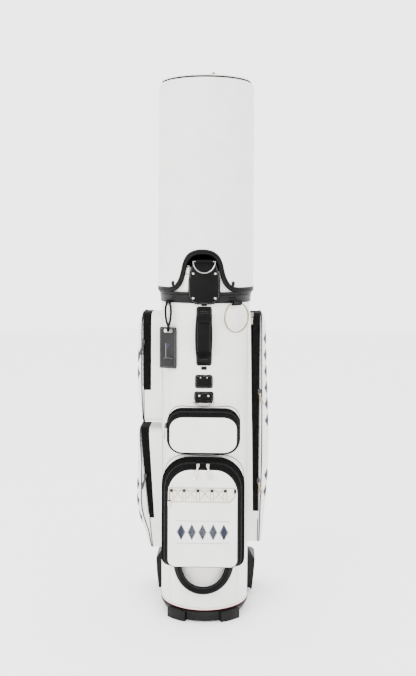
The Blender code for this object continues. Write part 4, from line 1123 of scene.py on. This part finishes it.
def side_reach(shape, z):
    """How far out the pocket's outer panel lies at a height."""
    low, high = shape["low"], shape["high"]
    at_low, at_middle, at_top = shape["outer"]
    knee = low + 0.42 * (high - low)
    if z >= knee:
        share = min((z - knee) / (high - 0.026 - knee), 1.0)
        crown = max(1 - (high - z) / 0.050, 0.0)
        return (at_middle + (at_top - at_middle) * share ** 2 * (3 - 2 * share)
                - shape["crown"] * crown ** 2)
    share = max((z - low) / (knee - low), 0.0)
    return at_low + (at_middle - at_low) * (0.5 - 0.5 * math.cos(math.pi * share ** 0.8))


def along_pocket(shape, key, z):
    low, high = shape["low"] - 0.02, shape["high"] + 0.02
    at_low, at_high = shape[key]
    return at_low + (at_high - at_low) * (z - low) / (high - low)


def split_reach(shape, z):
    return along_pocket(shape, "split", z)


def side_roll(shape, z):
    """Where the cover starts, its depth and the radius of its rolled edge at a height."""
    start = split_reach(shape, z) + 0.0003
    depth = side_reach(shape, z) - start
    return start, depth, min(shape["roll"], depth * 0.82)


def side_point(shape, outline, normals, i, share=None, turn=None, shrink=0.0):
    """A place on the cover: share goes from the zip line to the rolled edge, turn rolls over it."""
    (y, z), (ny, nz) = outline[i], normals[i]
    start, depth, roll = side_roll(shape, z)
    if turn is None:
        y, z = y - ny * shrink, z - nz * shrink
        return Vector((shape["side"] * (start + (depth - roll) * share), y, z))
    inset = min(roll * 1.2, 0.0170) * (1 - math.cos(turn)) + shrink
    y, z = y - ny * inset, z - nz * inset
    x = start + depth - roll + roll * math.sin(turn) - shrink
    return Vector((shape["side"] * x, y, z))


def side_middle(shape):
    return (SIDE_FRONT + SIDE_BACK) / 2, (shape["low"] + shape["high"]) / 2


def shrunk(row, share, middle):
    """The (y, z) places of a row of points, drawn towards the middle."""
    return scaled([(point.y, point.z) for point in row], share, middle)


def build_side_pocket(name):
    shape = SIDE[name]
    outline = side_outline(shape)
    normals = outline_normals(outline)

    def ring(**where):
        return [side_point(shape, outline, normals, i, **where) for i in range(len(outline))]

    build_side_cover(name, shape, ring)
    build_side_trim(name, shape, outline, normals, ring)
    build_side_tray(name, shape, outline, normals)


def build_side_cover(name, shape, ring):
    side, middle = shape["side"], side_middle(shape)
    middle_reach = side_reach(shape, middle[1])
    cover = Part(f"{name}_cover_leather", "white", "tape", "lining")
    cover.surface([ring(share=s) for s in (0.0, 0.5, 1.0)])
    face = [ring(turn=math.radians(t)) for t in (0, 22, 45, 68, 90)]
    rolled = face[-1]
    for share in (0.9, 0.75, 0.55, 0.35, 0.15):
        row = []
        for y, z in shrunk(rolled, share, middle):
            swell = 0.0010 * (1 - share ** 2) + 0.0005 * math.sin(60 * y + 31 * z)
            row.append(Vector((side * (side_reach(shape, z) + swell), y, z)))
        face.append(row)
    made = cover.surface(face)
    cover.fan(made[-1], Vector((side * (middle_reach + 0.001), *middle)), 0)
    inner = [ring(share=0.0)] + [ring(share=s, shrink=LEATHER) for s in (0.02, 0.5, 1.0)]
    inner += [ring(turn=math.radians(t), shrink=LEATHER) for t in (45, 90)]
    rolled = inner[-1]
    for share in (0.8, 0.5, 0.2):
        inner.append([Vector((side * (side_reach(shape, z) - 0.0024), y, z))
                      for y, z in shrunk(rolled, share, middle)])
    made = cover.surface(inner, 2)
    cover.fan(made[-1], Vector((side * (middle_reach - 0.0024), *middle)), 2)
    cover.finish(f"{name}_cover", f"{name}_cover")


def build_side_trim(name, shape, outline, normals, ring):
    """Piping, stitching and zip teeth of a side cover."""
    side = shape["side"]
    trim = Part(f"{name}_cover_trim", "black", "teeth", "white_thread")
    seam_out = [Vector((side * 0.4, ny, nz)) for ny, nz in normals]
    trim.sweep(ring(turn=math.radians(8)), seam_out, circle_section(0.0014), True, 0)
    stitches = ring(turn=math.radians(62))
    trim.dashes(stitches, [Vector((side * 2, ny, nz)) for ny, nz in normals], *STITCH, True, 2)
    run = [i for i, (_, z) in enumerate(outline) if z > shape["zip_end"] + 0.003]
    teeth = [side_point(shape, outline, normals, i, share=0.0) for i in run]
    for point, along, normal in walk(teeth, [Vector((0, *normals[i])) for i in run], 0.0030):
        trim.capsule(point + normal * 0.0003, along.cross(normal), normal, *TOOTH, 1)
    trim.finish(f"{name}_cover", ())


def build_side_tray(name, shape, outline, normals):
    side, middle, zip_end = shape["side"], side_middle(shape), shape["zip_end"]
    count = len(outline)
    tray = Part(f"{name}_tray_leather", "white", "black", "lining", "tape")

    def tray_point(i, share, shrink=0.0):
        (y, z), (ny, nz) = outline[i], normals[i]
        y, z = y - ny * shrink, z - nz * shrink
        start = math.sqrt((body_radius(z) + 0.0004) ** 2 - y ** 2)
        end = split_reach(shape, z) - 0.0002
        return Vector((side * (start + (end - start) * share), y, z))

    def tape_point(i, back):
        point = tray_point(i, 1.0)
        return Vector((side * (along_pocket(shape, "tape", point.z) - back), point.y, point.z))

    def around(place, *where):
        return [place(i, *where) for i in range(count)]

    rows = [around(tray_point, 0.0), around(tray_point, 0.4), around(tape_point, 0.0006),
            around(tape_point, 0.0), around(tray_point, 1.0)]
    rows += [around(tray_point, share, LEATHER) for share in (1.0, 0.5, 0.03)]
    mats = [0, 0, 0, 3, 2, 2, 2]
    for share in (0.85, 0.6, 0.35, 0.12):
        rows.append([Vector((side * math.sqrt((body_radius(z) + 0.0012) ** 2 - y ** 2), y, z))
                     for y, z in shrunk(rows[7], share, middle)])
        mats.append(2)
    made = [tray.row(points) for points in rows]
    for lower, upper, mat in zip(made, made[1:], mats):
        for i in range(count):
            j = (i + 1) % count
            face = tray.bm.faces.new((lower[i], lower[j], upper[j], upper[i]))
            high_enough = min(lower[i].co.z, lower[j].co.z) > zip_end
            face.material_index = (3 if high_enough else 0) if mat == 3 else mat
            face.smooth = True
    tray.fan(made[-1], Vector((side * (body_radius(middle[1]) + 0.0012) * 0.97, *middle)), 2)
    flat = [Vector((0, *normal)) for normal in normals]
    below = [i for i in range(count) if outline[i][1] <= zip_end + 0.004]
    turn_at = next(k for k, i in enumerate(below) if k and i != below[k - 1] + 1)
    below = below[turn_at:] + below[:turn_at]
    tray.sweep([tray_point(i, 0.985) for i in below], [flat[i] for i in below],
               circle_section(0.0011), False, 1)
    tray.sweep(around(tray_point, 0.02), flat, circle_section(0.0010), True, 0)
    tray.finish("bag", f"{name}_pocket")


# ---------------------------------------------------------------- zip pulls

def build_pull(name, seat, along, normal, tip, slider_mat, tab_mat, body=None, width=0.0062):
    """A zip slider with its bridge, and the tab hanging from it."""
    seat, tip = Vector(seat), Vector(tip)
    along, normal = Vector(along).normalized(), Vector(normal).normalized()
    across = along.cross(normal).normalized()
    part = Part(f"{name}_metal", slider_mat, tab_mat)
    stations = []
    for t, half, low, high in ((-0.0064, 0.0022, 0.0010, 0.0026), (-0.0058, 0.0034, 0.0005, 0.0034),
                               (-0.0020, 0.0042, 0.0004, 0.0038), (0.0030, 0.0040, 0.0004, 0.0038),
                               (0.0056, 0.0030, 0.0005, 0.0034), (0.0064, 0.0018, 0.0010, 0.0026)):
        stations.append((seat + along * t, normal, across,
                         rounded_section(half, low, high, (high - low) * 0.35, 3)))
    loft(part, stations)
    bridge = [seat + along * (0.0040 * math.cos(math.pi * k / 10))
              + normal * (0.0034 + 0.0020 * math.sin(math.pi * k / 10)) for k in range(11)]
    part.sweep(bridge, [normal] * 11, rounded_section(0.0014, -0.0004, 0.0004, 0.0003), False, 0)
    root = seat + along * 0.0034 + normal * 0.0040
    run = tip - root
    face = (normal - run.normalized() * normal.dot(run.normalized())).normalized()
    side = run.cross(face).normalized()
    widest = width / 2
    tab = ((0.0, 0.0016, 0.0009), (0.10, 0.0020, 0.0011), (0.22, 0.0017, 0.0010),
           (0.34, 0.0024, 0.0011), (0.50, widest, 0.0013), (0.84, widest * 1.06, 0.0014),
           (0.95, widest * 0.9, 0.0012), (1.0, widest * 0.55, 0.0008))
    loft(part, [(root + run * share, face, side,
                 rounded_section(half, -thick / 2, thick / 2, thick * 0.35, 2))
                for share, half, thick in tab], 1)
    ring = [root + along * (0.0020 * math.cos(TAU * k / 12))
            + normal * (0.0015 * math.sin(TAU * k / 12) + 0.0004) for k in range(12)]
    part.sweep(ring, [side] * 12, circle_section(0.0006, 6), True, 0)
    for k in range(3):
        part.capsule(root + run * (0.60 + 0.10 * k) + face * 0.0006, side, face, width * 0.7,
                     0.0010, 0.0005, 1)
    part.finish(body or name, name)


def build_pulls():
    for pocket, heights in {"left_upper": [0.6350], "left_lower": [0.3150],
                            "right": [0.5200, 0.3080]}.items():
        shape = SIDE[pocket]
        for number, z in enumerate(heights):
            x = shape["side"] * split_reach(shape, z)
            label = pocket if len(heights) == 1 else f"{pocket}_{('upper', 'lower')[number]}"
            tip = (x + shape["side"] * 0.0075, SIDE_FRONT - 0.0080, z - 0.0300)
            build_pull(f"{label}_pull", (x, SIDE_FRONT - 0.0006, z),
                       (0, 0, -1), (0, -1, 0), tip, "dark_metal",
                       "bronze" if shape["side"] > 0 else "dark_metal")
    shape = FRONT["lower"]
    depth, scale_z = shape["shoulder"][0], shape["shoulder"][2]
    top = shape["high"]
    shoulder_z = shape["centre"] + (top - shape["centre"]) * scale_z
    slope = Vector((0, -(depth - shape["split"]), shoulder_z - top))
    normal = Vector((0, slope.z, -slope.y))
    place = Vector((0, -shape["split"], top)) + slope * 0.72
    for side, label in ((-1, "left"), (1, "right")):
        x = side * 0.0110
        build_pull(f"front_lower_pull_{label}", (x, place.y, place.z), slope, normal,
                   (x + side * 0.0060, -0.1680, 0.3440), "chrome", "rivet", None, 0.0104)
    shape = FRONT["upper"]
    x = -shape["half"]
    y = -(shape["split"] + 0.0050)
    build_pull("front_upper_pull", (x - 0.0002, y, 0.4560), (0, 0, -1), (-1, -0.25, 0),
               (x - 0.0060, y - 0.0040, 0.4260), "dark_metal", "bronze")
    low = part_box("lid_pull")[0]
    angle = math.radians(11.0)
    out = outward(angle)
    build_pull("lid_pull", out * 0.0990 + Vector((0, 0, low[2] - 0.0006)), out * -1, (0, 0, 1),
               out * 0.0740 + Vector((0, 0, low[2] + 0.0022)), "nickel", "nickel", None, 0.0090)


def build_towel_ring():
    """Two coils of wire side by side, like a split ring, hanging in its loop."""
    low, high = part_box("towel_ring")
    centre = (Vector(low) + Vector(high)) / 2
    out, side = outward(math.radians(TOWEL_AZIMUTH)), sideways(math.radians(TOWEL_AZIMUTH))
    part = Part("towel_ring_coils", "nickel")
    steps, turns = 72, 2
    path = []
    for k in range(steps * turns):
        share, angle = k / (steps * turns - 1) - 0.5, math.pi / 2 + TAU * k / steps
        path.append(centre + out * (0.0026 * share) + side * (0.0350 * math.cos(angle)
                    + 0.0022 * share * (1 - math.sin(angle)) / 2)
                    + Vector((0, 0, 0.0350 * math.sin(angle))))
    part.sweep(path, [out] * len(path), circle_section(0.0014, 10), False, 0)
    part.finish("towel_ring", "towel_ring")


# ---------------------------------------------------------------- lace band and embroidery

def front_plane(y):
    def place(x, z, lift):
        return Vector((x, y - lift, z))
    return place


def build_lace_band():
    low, high, left, right, chamfer = 0.2895, 0.3245, -0.0768, 0.0738, 0.012
    place = front_plane(-(FRONT["lower"]["front"] + 0.0002))

    def outline_at(inset):
        l, r, b, t = left + inset, right - inset, low + inset, high - inset
        c = chamfer - inset * 0.4
        corners = [(l, b), (r - c, b), (r, b + c), (r, t), (l, t)]
        points = []
        for i, corner in enumerate(corners):
            target = corners[(i + 1) % 5]
            points += [(corner[0] + (target[0] - corner[0]) * k / 12,
                        corner[1] + (target[1] - corner[1]) * k / 12) for k in range(12)]
        return points

    part = Part("lace_band", "cream", "dark_thread", "black", "grey_thread")
    centre = (0.0, (low + high) / 2)
    top = 0.0021
    cushion(part, outline_at, [(0.0, 0.0), (0.0, 0.0012), (0.0008, 0.0020), (0.0016, top)],
            place, centre, [0, 0, 0])
    points, normals = edge_line(outline_at, 0.0020, place, top)
    part.dashes(points, normals, 0.0042, 0.0034, 0.0013, 0.0006, True, 1)
    out = FORWARD
    eyelets = (-0.0700, -0.0415, -0.0105, 0.0210, 0.0510)

    def lace(x, z, end_x, end_z):
        line = [place(x + (end_x - x) * k / 12, z + (end_z - z) * k / 12, top) for k in range(13)]
        part.dashes(line, [out] * 13, 0.0040, 0.0033, 0.0013, 0.0006, False, 1)

    for x in eyelets:
        centre_point = place(x, 0.3165, top)
        ring = [centre_point + Vector((0.0024 * math.cos(TAU * k / 20), 0,
                                       0.0030 * math.sin(TAU * k / 20))) for k in range(20)]
        part.sweep(ring, [out] * 20, circle_section(0.0009, 8), True, 2)
        disc = [centre_point + Vector((0.0018 * math.cos(TAU * k / 16), -0.0002,
                                       0.0024 * math.sin(TAU * k / 16))) for k in range(16)]
        part.fan(part.row(disc), centre_point + Vector((0, -0.0001, 0)), 1)
        for side in (-0.0034, 0.0034):
            lace(x + side, 0.3215, x + side, 0.2930)
    for a, b in zip(eyelets, eyelets[1:]):
        lace(a + 0.0055, 0.3205, b - 0.0055, 0.2985)
        lace(b - 0.0055, 0.3205, a + 0.0055, 0.2985)
        lace(a + 0.0040, 0.3165, b - 0.0040, 0.3165)
    hook = place(-0.0748, 0.2868, top + 0.0008)
    part.capsule(hook, (0, 0, 1), out, 0.0160, 0.0068, 0.0026, 0)
    part.capsule(hook + Vector((0, -0.0010, 0.0074)), (1, 0, 0), out, 0.0080, 0.0030, 0.0020, 1)
    part.capsule(place(0.0728, 0.3160, top + 0.0004), (0, 0, 1), out, 0.0100, 0.0052, 0.0020, 2)
    part.finish("front_lower_cover", "lace_panel")


def satin_diamond(part, place, normal, across, x, z, half_width, half_height, mat, pitch=0.0013):
    """A filled diamond in satin stitch: rows of raised threads."""
    rows = int(2 * half_height / pitch)
    for k in range(rows):
        height = -half_height + pitch * (k + 0.5)
        reach = half_width * (1 - abs(height) / half_height)
        if reach > 0.0007:
            part.capsule(place(x, z + height), across, normal, 2 * reach, pitch * 1.05, 0.0007,
                         mat)


def build_emblem():
    part = Part("embroidered_diamonds", "navy_thread")
    y = -(FRONT["lower"]["front"] + 0.0003)
    out, across = FORWARD, Vector((1, 0, 0))

    def place(x, z):
        return Vector((x, y, z))

    for k in range(5):
        x = -0.0480 + 0.0240 * k
        satin_diamond(part, place, out, across, x, 0.2230, 0.0108, 0.0185, 0)
    for sign in (-1, 1):
        line = [place(-0.0600 + 0.1200 * k / 30, 0.2230 + sign * 0.0250) for k in range(31)]
        part.dashes(line, [out] * 31, 0.0060, 0.0044, 0.0010, 0.0007, False, 0)
    part.finish("front_lower_cover", ())

    for name, heights in (("left_lower", (0.2950, 0.2560, 0.2170)),
                          ("left_upper", (0.6000, 0.5600)),
                          ("right", (0.6450, 0.6060, 0.5670, 0.5280, 0.4890, 0.4500, 0.3200,
                                     0.2810))):
        part = Part(f"{name}_diamonds", "navy_thread")
        for centre_z in heights:
            rolled_diamond(part, SIDE[name], centre_z)
        part.finish(f"{name}_cover", ())


def rolled_diamond(part, shape, centre_z, half_width=0.0085, half_height=0.0150, pitch=0.0013):
    """A satin-stitch diamond on the panel's rolled front edge, each row in short arcs."""
    turn = math.radians(62)
    for k in range(int(2 * half_height / pitch)):
        height = -half_height + pitch * (k + 0.5)
        z = centre_z + height
        start, depth, roll = side_roll(shape, z)
        inset = min(roll * 1.2, 0.0170)
        reach = half_width * (1 - abs(height) / half_height) / inset

        def at(angle):
            point = Vector((shape["side"] * (start + depth - roll + roll * math.sin(angle)),
                            SIDE_FRONT + inset * (1 - math.cos(angle)), z))
            normal = Vector((shape["side"] * math.sin(angle) * inset, -math.cos(angle) * roll, 0))
            return point, normal.normalized()

        pieces = max(1, round(reach / 0.18))
        for piece in range(pieces):
            a = turn - reach + 2 * reach * piece / pieces
            b = turn - reach + 2 * reach * (piece + 1) / pieces
            (first, _), (last, _), (_, normal) = at(a), at(b), at((a + b) / 2)
            if (last - first).length > 0.0008:
                part.capsule((first + last) / 2 + normal * 0.0002, last - first, normal,
                             (last - first).length * 1.15, pitch * 1.05, 0.0008)


# ---------------------------------------------------------------- wheels and partitions

def build_wheel(name):
    low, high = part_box(name)
    centre_y, centre_z = (low[1] + high[1]) / 2, (low[2] + high[2]) / 2
    inner, outer = low[0], high[0]
    middle, half = (inner + outer) / 2, (outer - inner) / 2
    radius = (high[2] - low[2]) / 2
    part = Part(f"{name}_tyre", "tyre", "hub", "dark_metal")
    count = 96

    def ring(x, r, grooved=0.0):
        points = []
        for k in range(count):
            angle = TAU * k / count
            depth = grooved if k % 4 == 0 else 0.0
            points.append(Vector((x, centre_y + (r - depth) * math.cos(angle),
                                  centre_z + (r - depth) * math.sin(angle))))
        return points

    profile = [(-half, 0.0052, 0, 1), (-half, 0.0100, 0, 1), (-half * 0.80, 0.0115, 0, 1),
               (-half * 0.55, 0.0200, 0, 1), (-half * 0.55, 0.0300, 0, 1),
               (-half * 0.9, 0.0325, 0, 0), (-half, 0.0345, 0, 0), (-half * 0.98, 0.0395, 0, 0),
               (-half * 0.80, 0.0434, 0.0006, 0), (-half * 0.40, radius - 0.0002, 0.0010, 0),
               (-half * 0.08, radius - 0.0001, 0.0010, 0), (-half * 0.06, radius - 0.0012, 0, 0),
               (half * 0.06, radius - 0.0012, 0, 0), (half * 0.08, radius - 0.0001, 0.0010, 0),
               (half * 0.40, radius - 0.0002, 0.0010, 0), (half * 0.80, 0.0434, 0.0006, 0),
               (half * 0.98, 0.0395, 0, 0), (half, 0.0345, 0, 0), (half * 0.9, 0.0325, 0, 0),
               (half * 0.55, 0.0300, 0, 1), (half * 0.55, 0.0200, 0, 1),
               (half * 0.80, 0.0115, 0, 1), (half, 0.0100, 0, 1), (half, 0.0052, 0, 1),
               (-half, 0.0052, 0, 1)]
    part.surface([ring(middle + x, r, g) for x, r, g, _ in profile],
                 [m for *_, m in profile[1:]])
    for k in range(6):
        angle = TAU * k / 6
        spoke = Vector((0, math.cos(angle), math.sin(angle)))
        for face in (-1, 1):
            start = Vector((middle + face * half * 0.60, centre_y, centre_z)) + spoke * 0.0105
            path = [start + spoke * 0.0205 * t / 6 for t in range(7)]
            part.sweep(path, [Vector((face, 0, 0))] * 7, rounded_section(0.0022, -0.0010, 0.0022,
                                                                       0.0008), False, 1)
    part.finish(name, name)


def build_partitions():
    low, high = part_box("divider_walls")
    part = Part("partition_fabric", "fleece", "dark_thread")
    row, reach = 0.0330, 0.0962
    bottom, top = low[2] + 0.0002, high[2] - 0.0004

    def wall(start, end):
        start, end = Vector(start), Vector(end)
        across = (end - start).normalized()
        normal = Vector((-across.y, across.x, 0))
        rows = []
        for k in range(25):
            z = bottom + (top - bottom) * k / 24
            line = []
            for j in range(17):
                point = start.lerp(end, j / 16)
                wave = 0.0010 * math.sin(9 * z + 70 * point.x + 40 * point.y) \
                    * math.sin(math.pi * j / 16) * math.sin(math.pi * k / 24)
                line.append(point + normal * (wave + 0.0007) + Vector((0, 0, z)))
            back = [p - normal * 0.0014 for p in reversed(line)]
            rows.append(line + back)
        made = part.surface(rows, 0)
        for end_row in (made[0], made[-1]):
            for j in range(16):
                part.bm.faces.new((end_row[j], end_row[j + 1], end_row[32 - j], end_row[33 - j]))

    wall((0, -reach, 0), (0, reach, 0))
    side = math.sqrt(0.1010 ** 2 - row ** 2) - 0.0012
    for y in (-row, row):
        wall((-side, y, 0), (-0.0012, y, 0))
        wall((0.0012, y, 0), (side, y, 0))
    part.finish("bag", "divider_walls")


# ---------------------------------------------------------------- pieces kept from the frame

KEPT = {
    "collar": ("collar_ring",),
    "plastic": ("base_shell", "wheel_housing_left", "wheel_housing_right", "divider_top",
                "base_board", "hood_snap_left", "hood_snap_right"),
    "liner": ("body_tube",),
    "dark_metal": ("axle",),
    "rivet": ("patch_rivet_upper_left", "patch_rivet_upper_right", "patch_rivet_lower_left",
              "patch_rivet_lower_right", "tab_rivet_left", "tab_rivet_right", "tab_stud_left",
              "tab_stud_right"),
    "chrome": ("patch_ring", "lower_ring"),
}


def dress_kept_nodes():
    for mat, names in KEPT.items():
        for name in names:
            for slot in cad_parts[name].material_slots:
                slot.material = MATS[mat]


# ---------------------------------------------------------------- studio

def build_studio():
    mat = new_material("studio_white", (0.93, 0.93, 0.93), 0.9)[0]
    mesh = bpy.data.meshes.new("studio_floor")
    bm = bmesh.new()
    rim = [bm.verts.new((7.0 * math.cos(TAU * k / 64), 7.0 * math.sin(TAU * k / 64), 0.0))
           for k in range(64)]
    bm.faces.new(rim)
    bm.to_mesh(mesh)
    bm.free()
    mesh.materials.append(mat)
    floor = bpy.data.objects.new("studio_floor", mesh)
    bpy.context.scene.collection.objects.link(floor)
    world = bpy.data.worlds.new("studio_world")
    world.use_nodes = True
    world.node_tree.nodes["Background"].inputs["Color"].default_value = (1, 1, 1, 1)
    world.node_tree.nodes["Background"].inputs["Strength"].default_value = 3.8
    bpy.context.scene.world = world
    for name, place, size, power in (("key", (-1.9, -2.4, 2.2), 1.6, 60),
                                     ("fill", (2.3, -1.9, 1.5), 1.8, 11),
                                     ("top", (0.0, -0.4, 3.0), 1.6, 11)):
        data = bpy.data.lights.new(name, "AREA")
        data.shape = "DISK"
        data.size = size
        data.energy = power
        light = bpy.data.objects.new(name, data)
        light.location = place
        light.rotation_euler = (Vector((0, 0, 0.6)) - Vector(place)).to_track_quat("-Z", "Y") \
            .to_euler()
        bpy.context.scene.collection.objects.link(light)


make_camera()
build_studio()
build_hood()
build_lid()
build_skin()
build_cuff()
build_patch()
build_carry_handle()
build_tabs()
build_loop("towel_loop", TOWEL_AZIMUTH, 0.0125)
build_loop("tag_loop", TAG_AZIMUTH, 0.0034)
build_tag()
build_bottom_handle()
for pocket_name in FRONT:
    build_front_pocket(pocket_name)
for pocket_name in SIDE:
    build_side_pocket(pocket_name)
build_pulls()
build_towel_ring()
build_lace_band()
build_emblem()
for wheel_name in ("wheel_left", "wheel_right"):
    build_wheel(wheel_name)
build_partitions()
dress_kept_nodes()
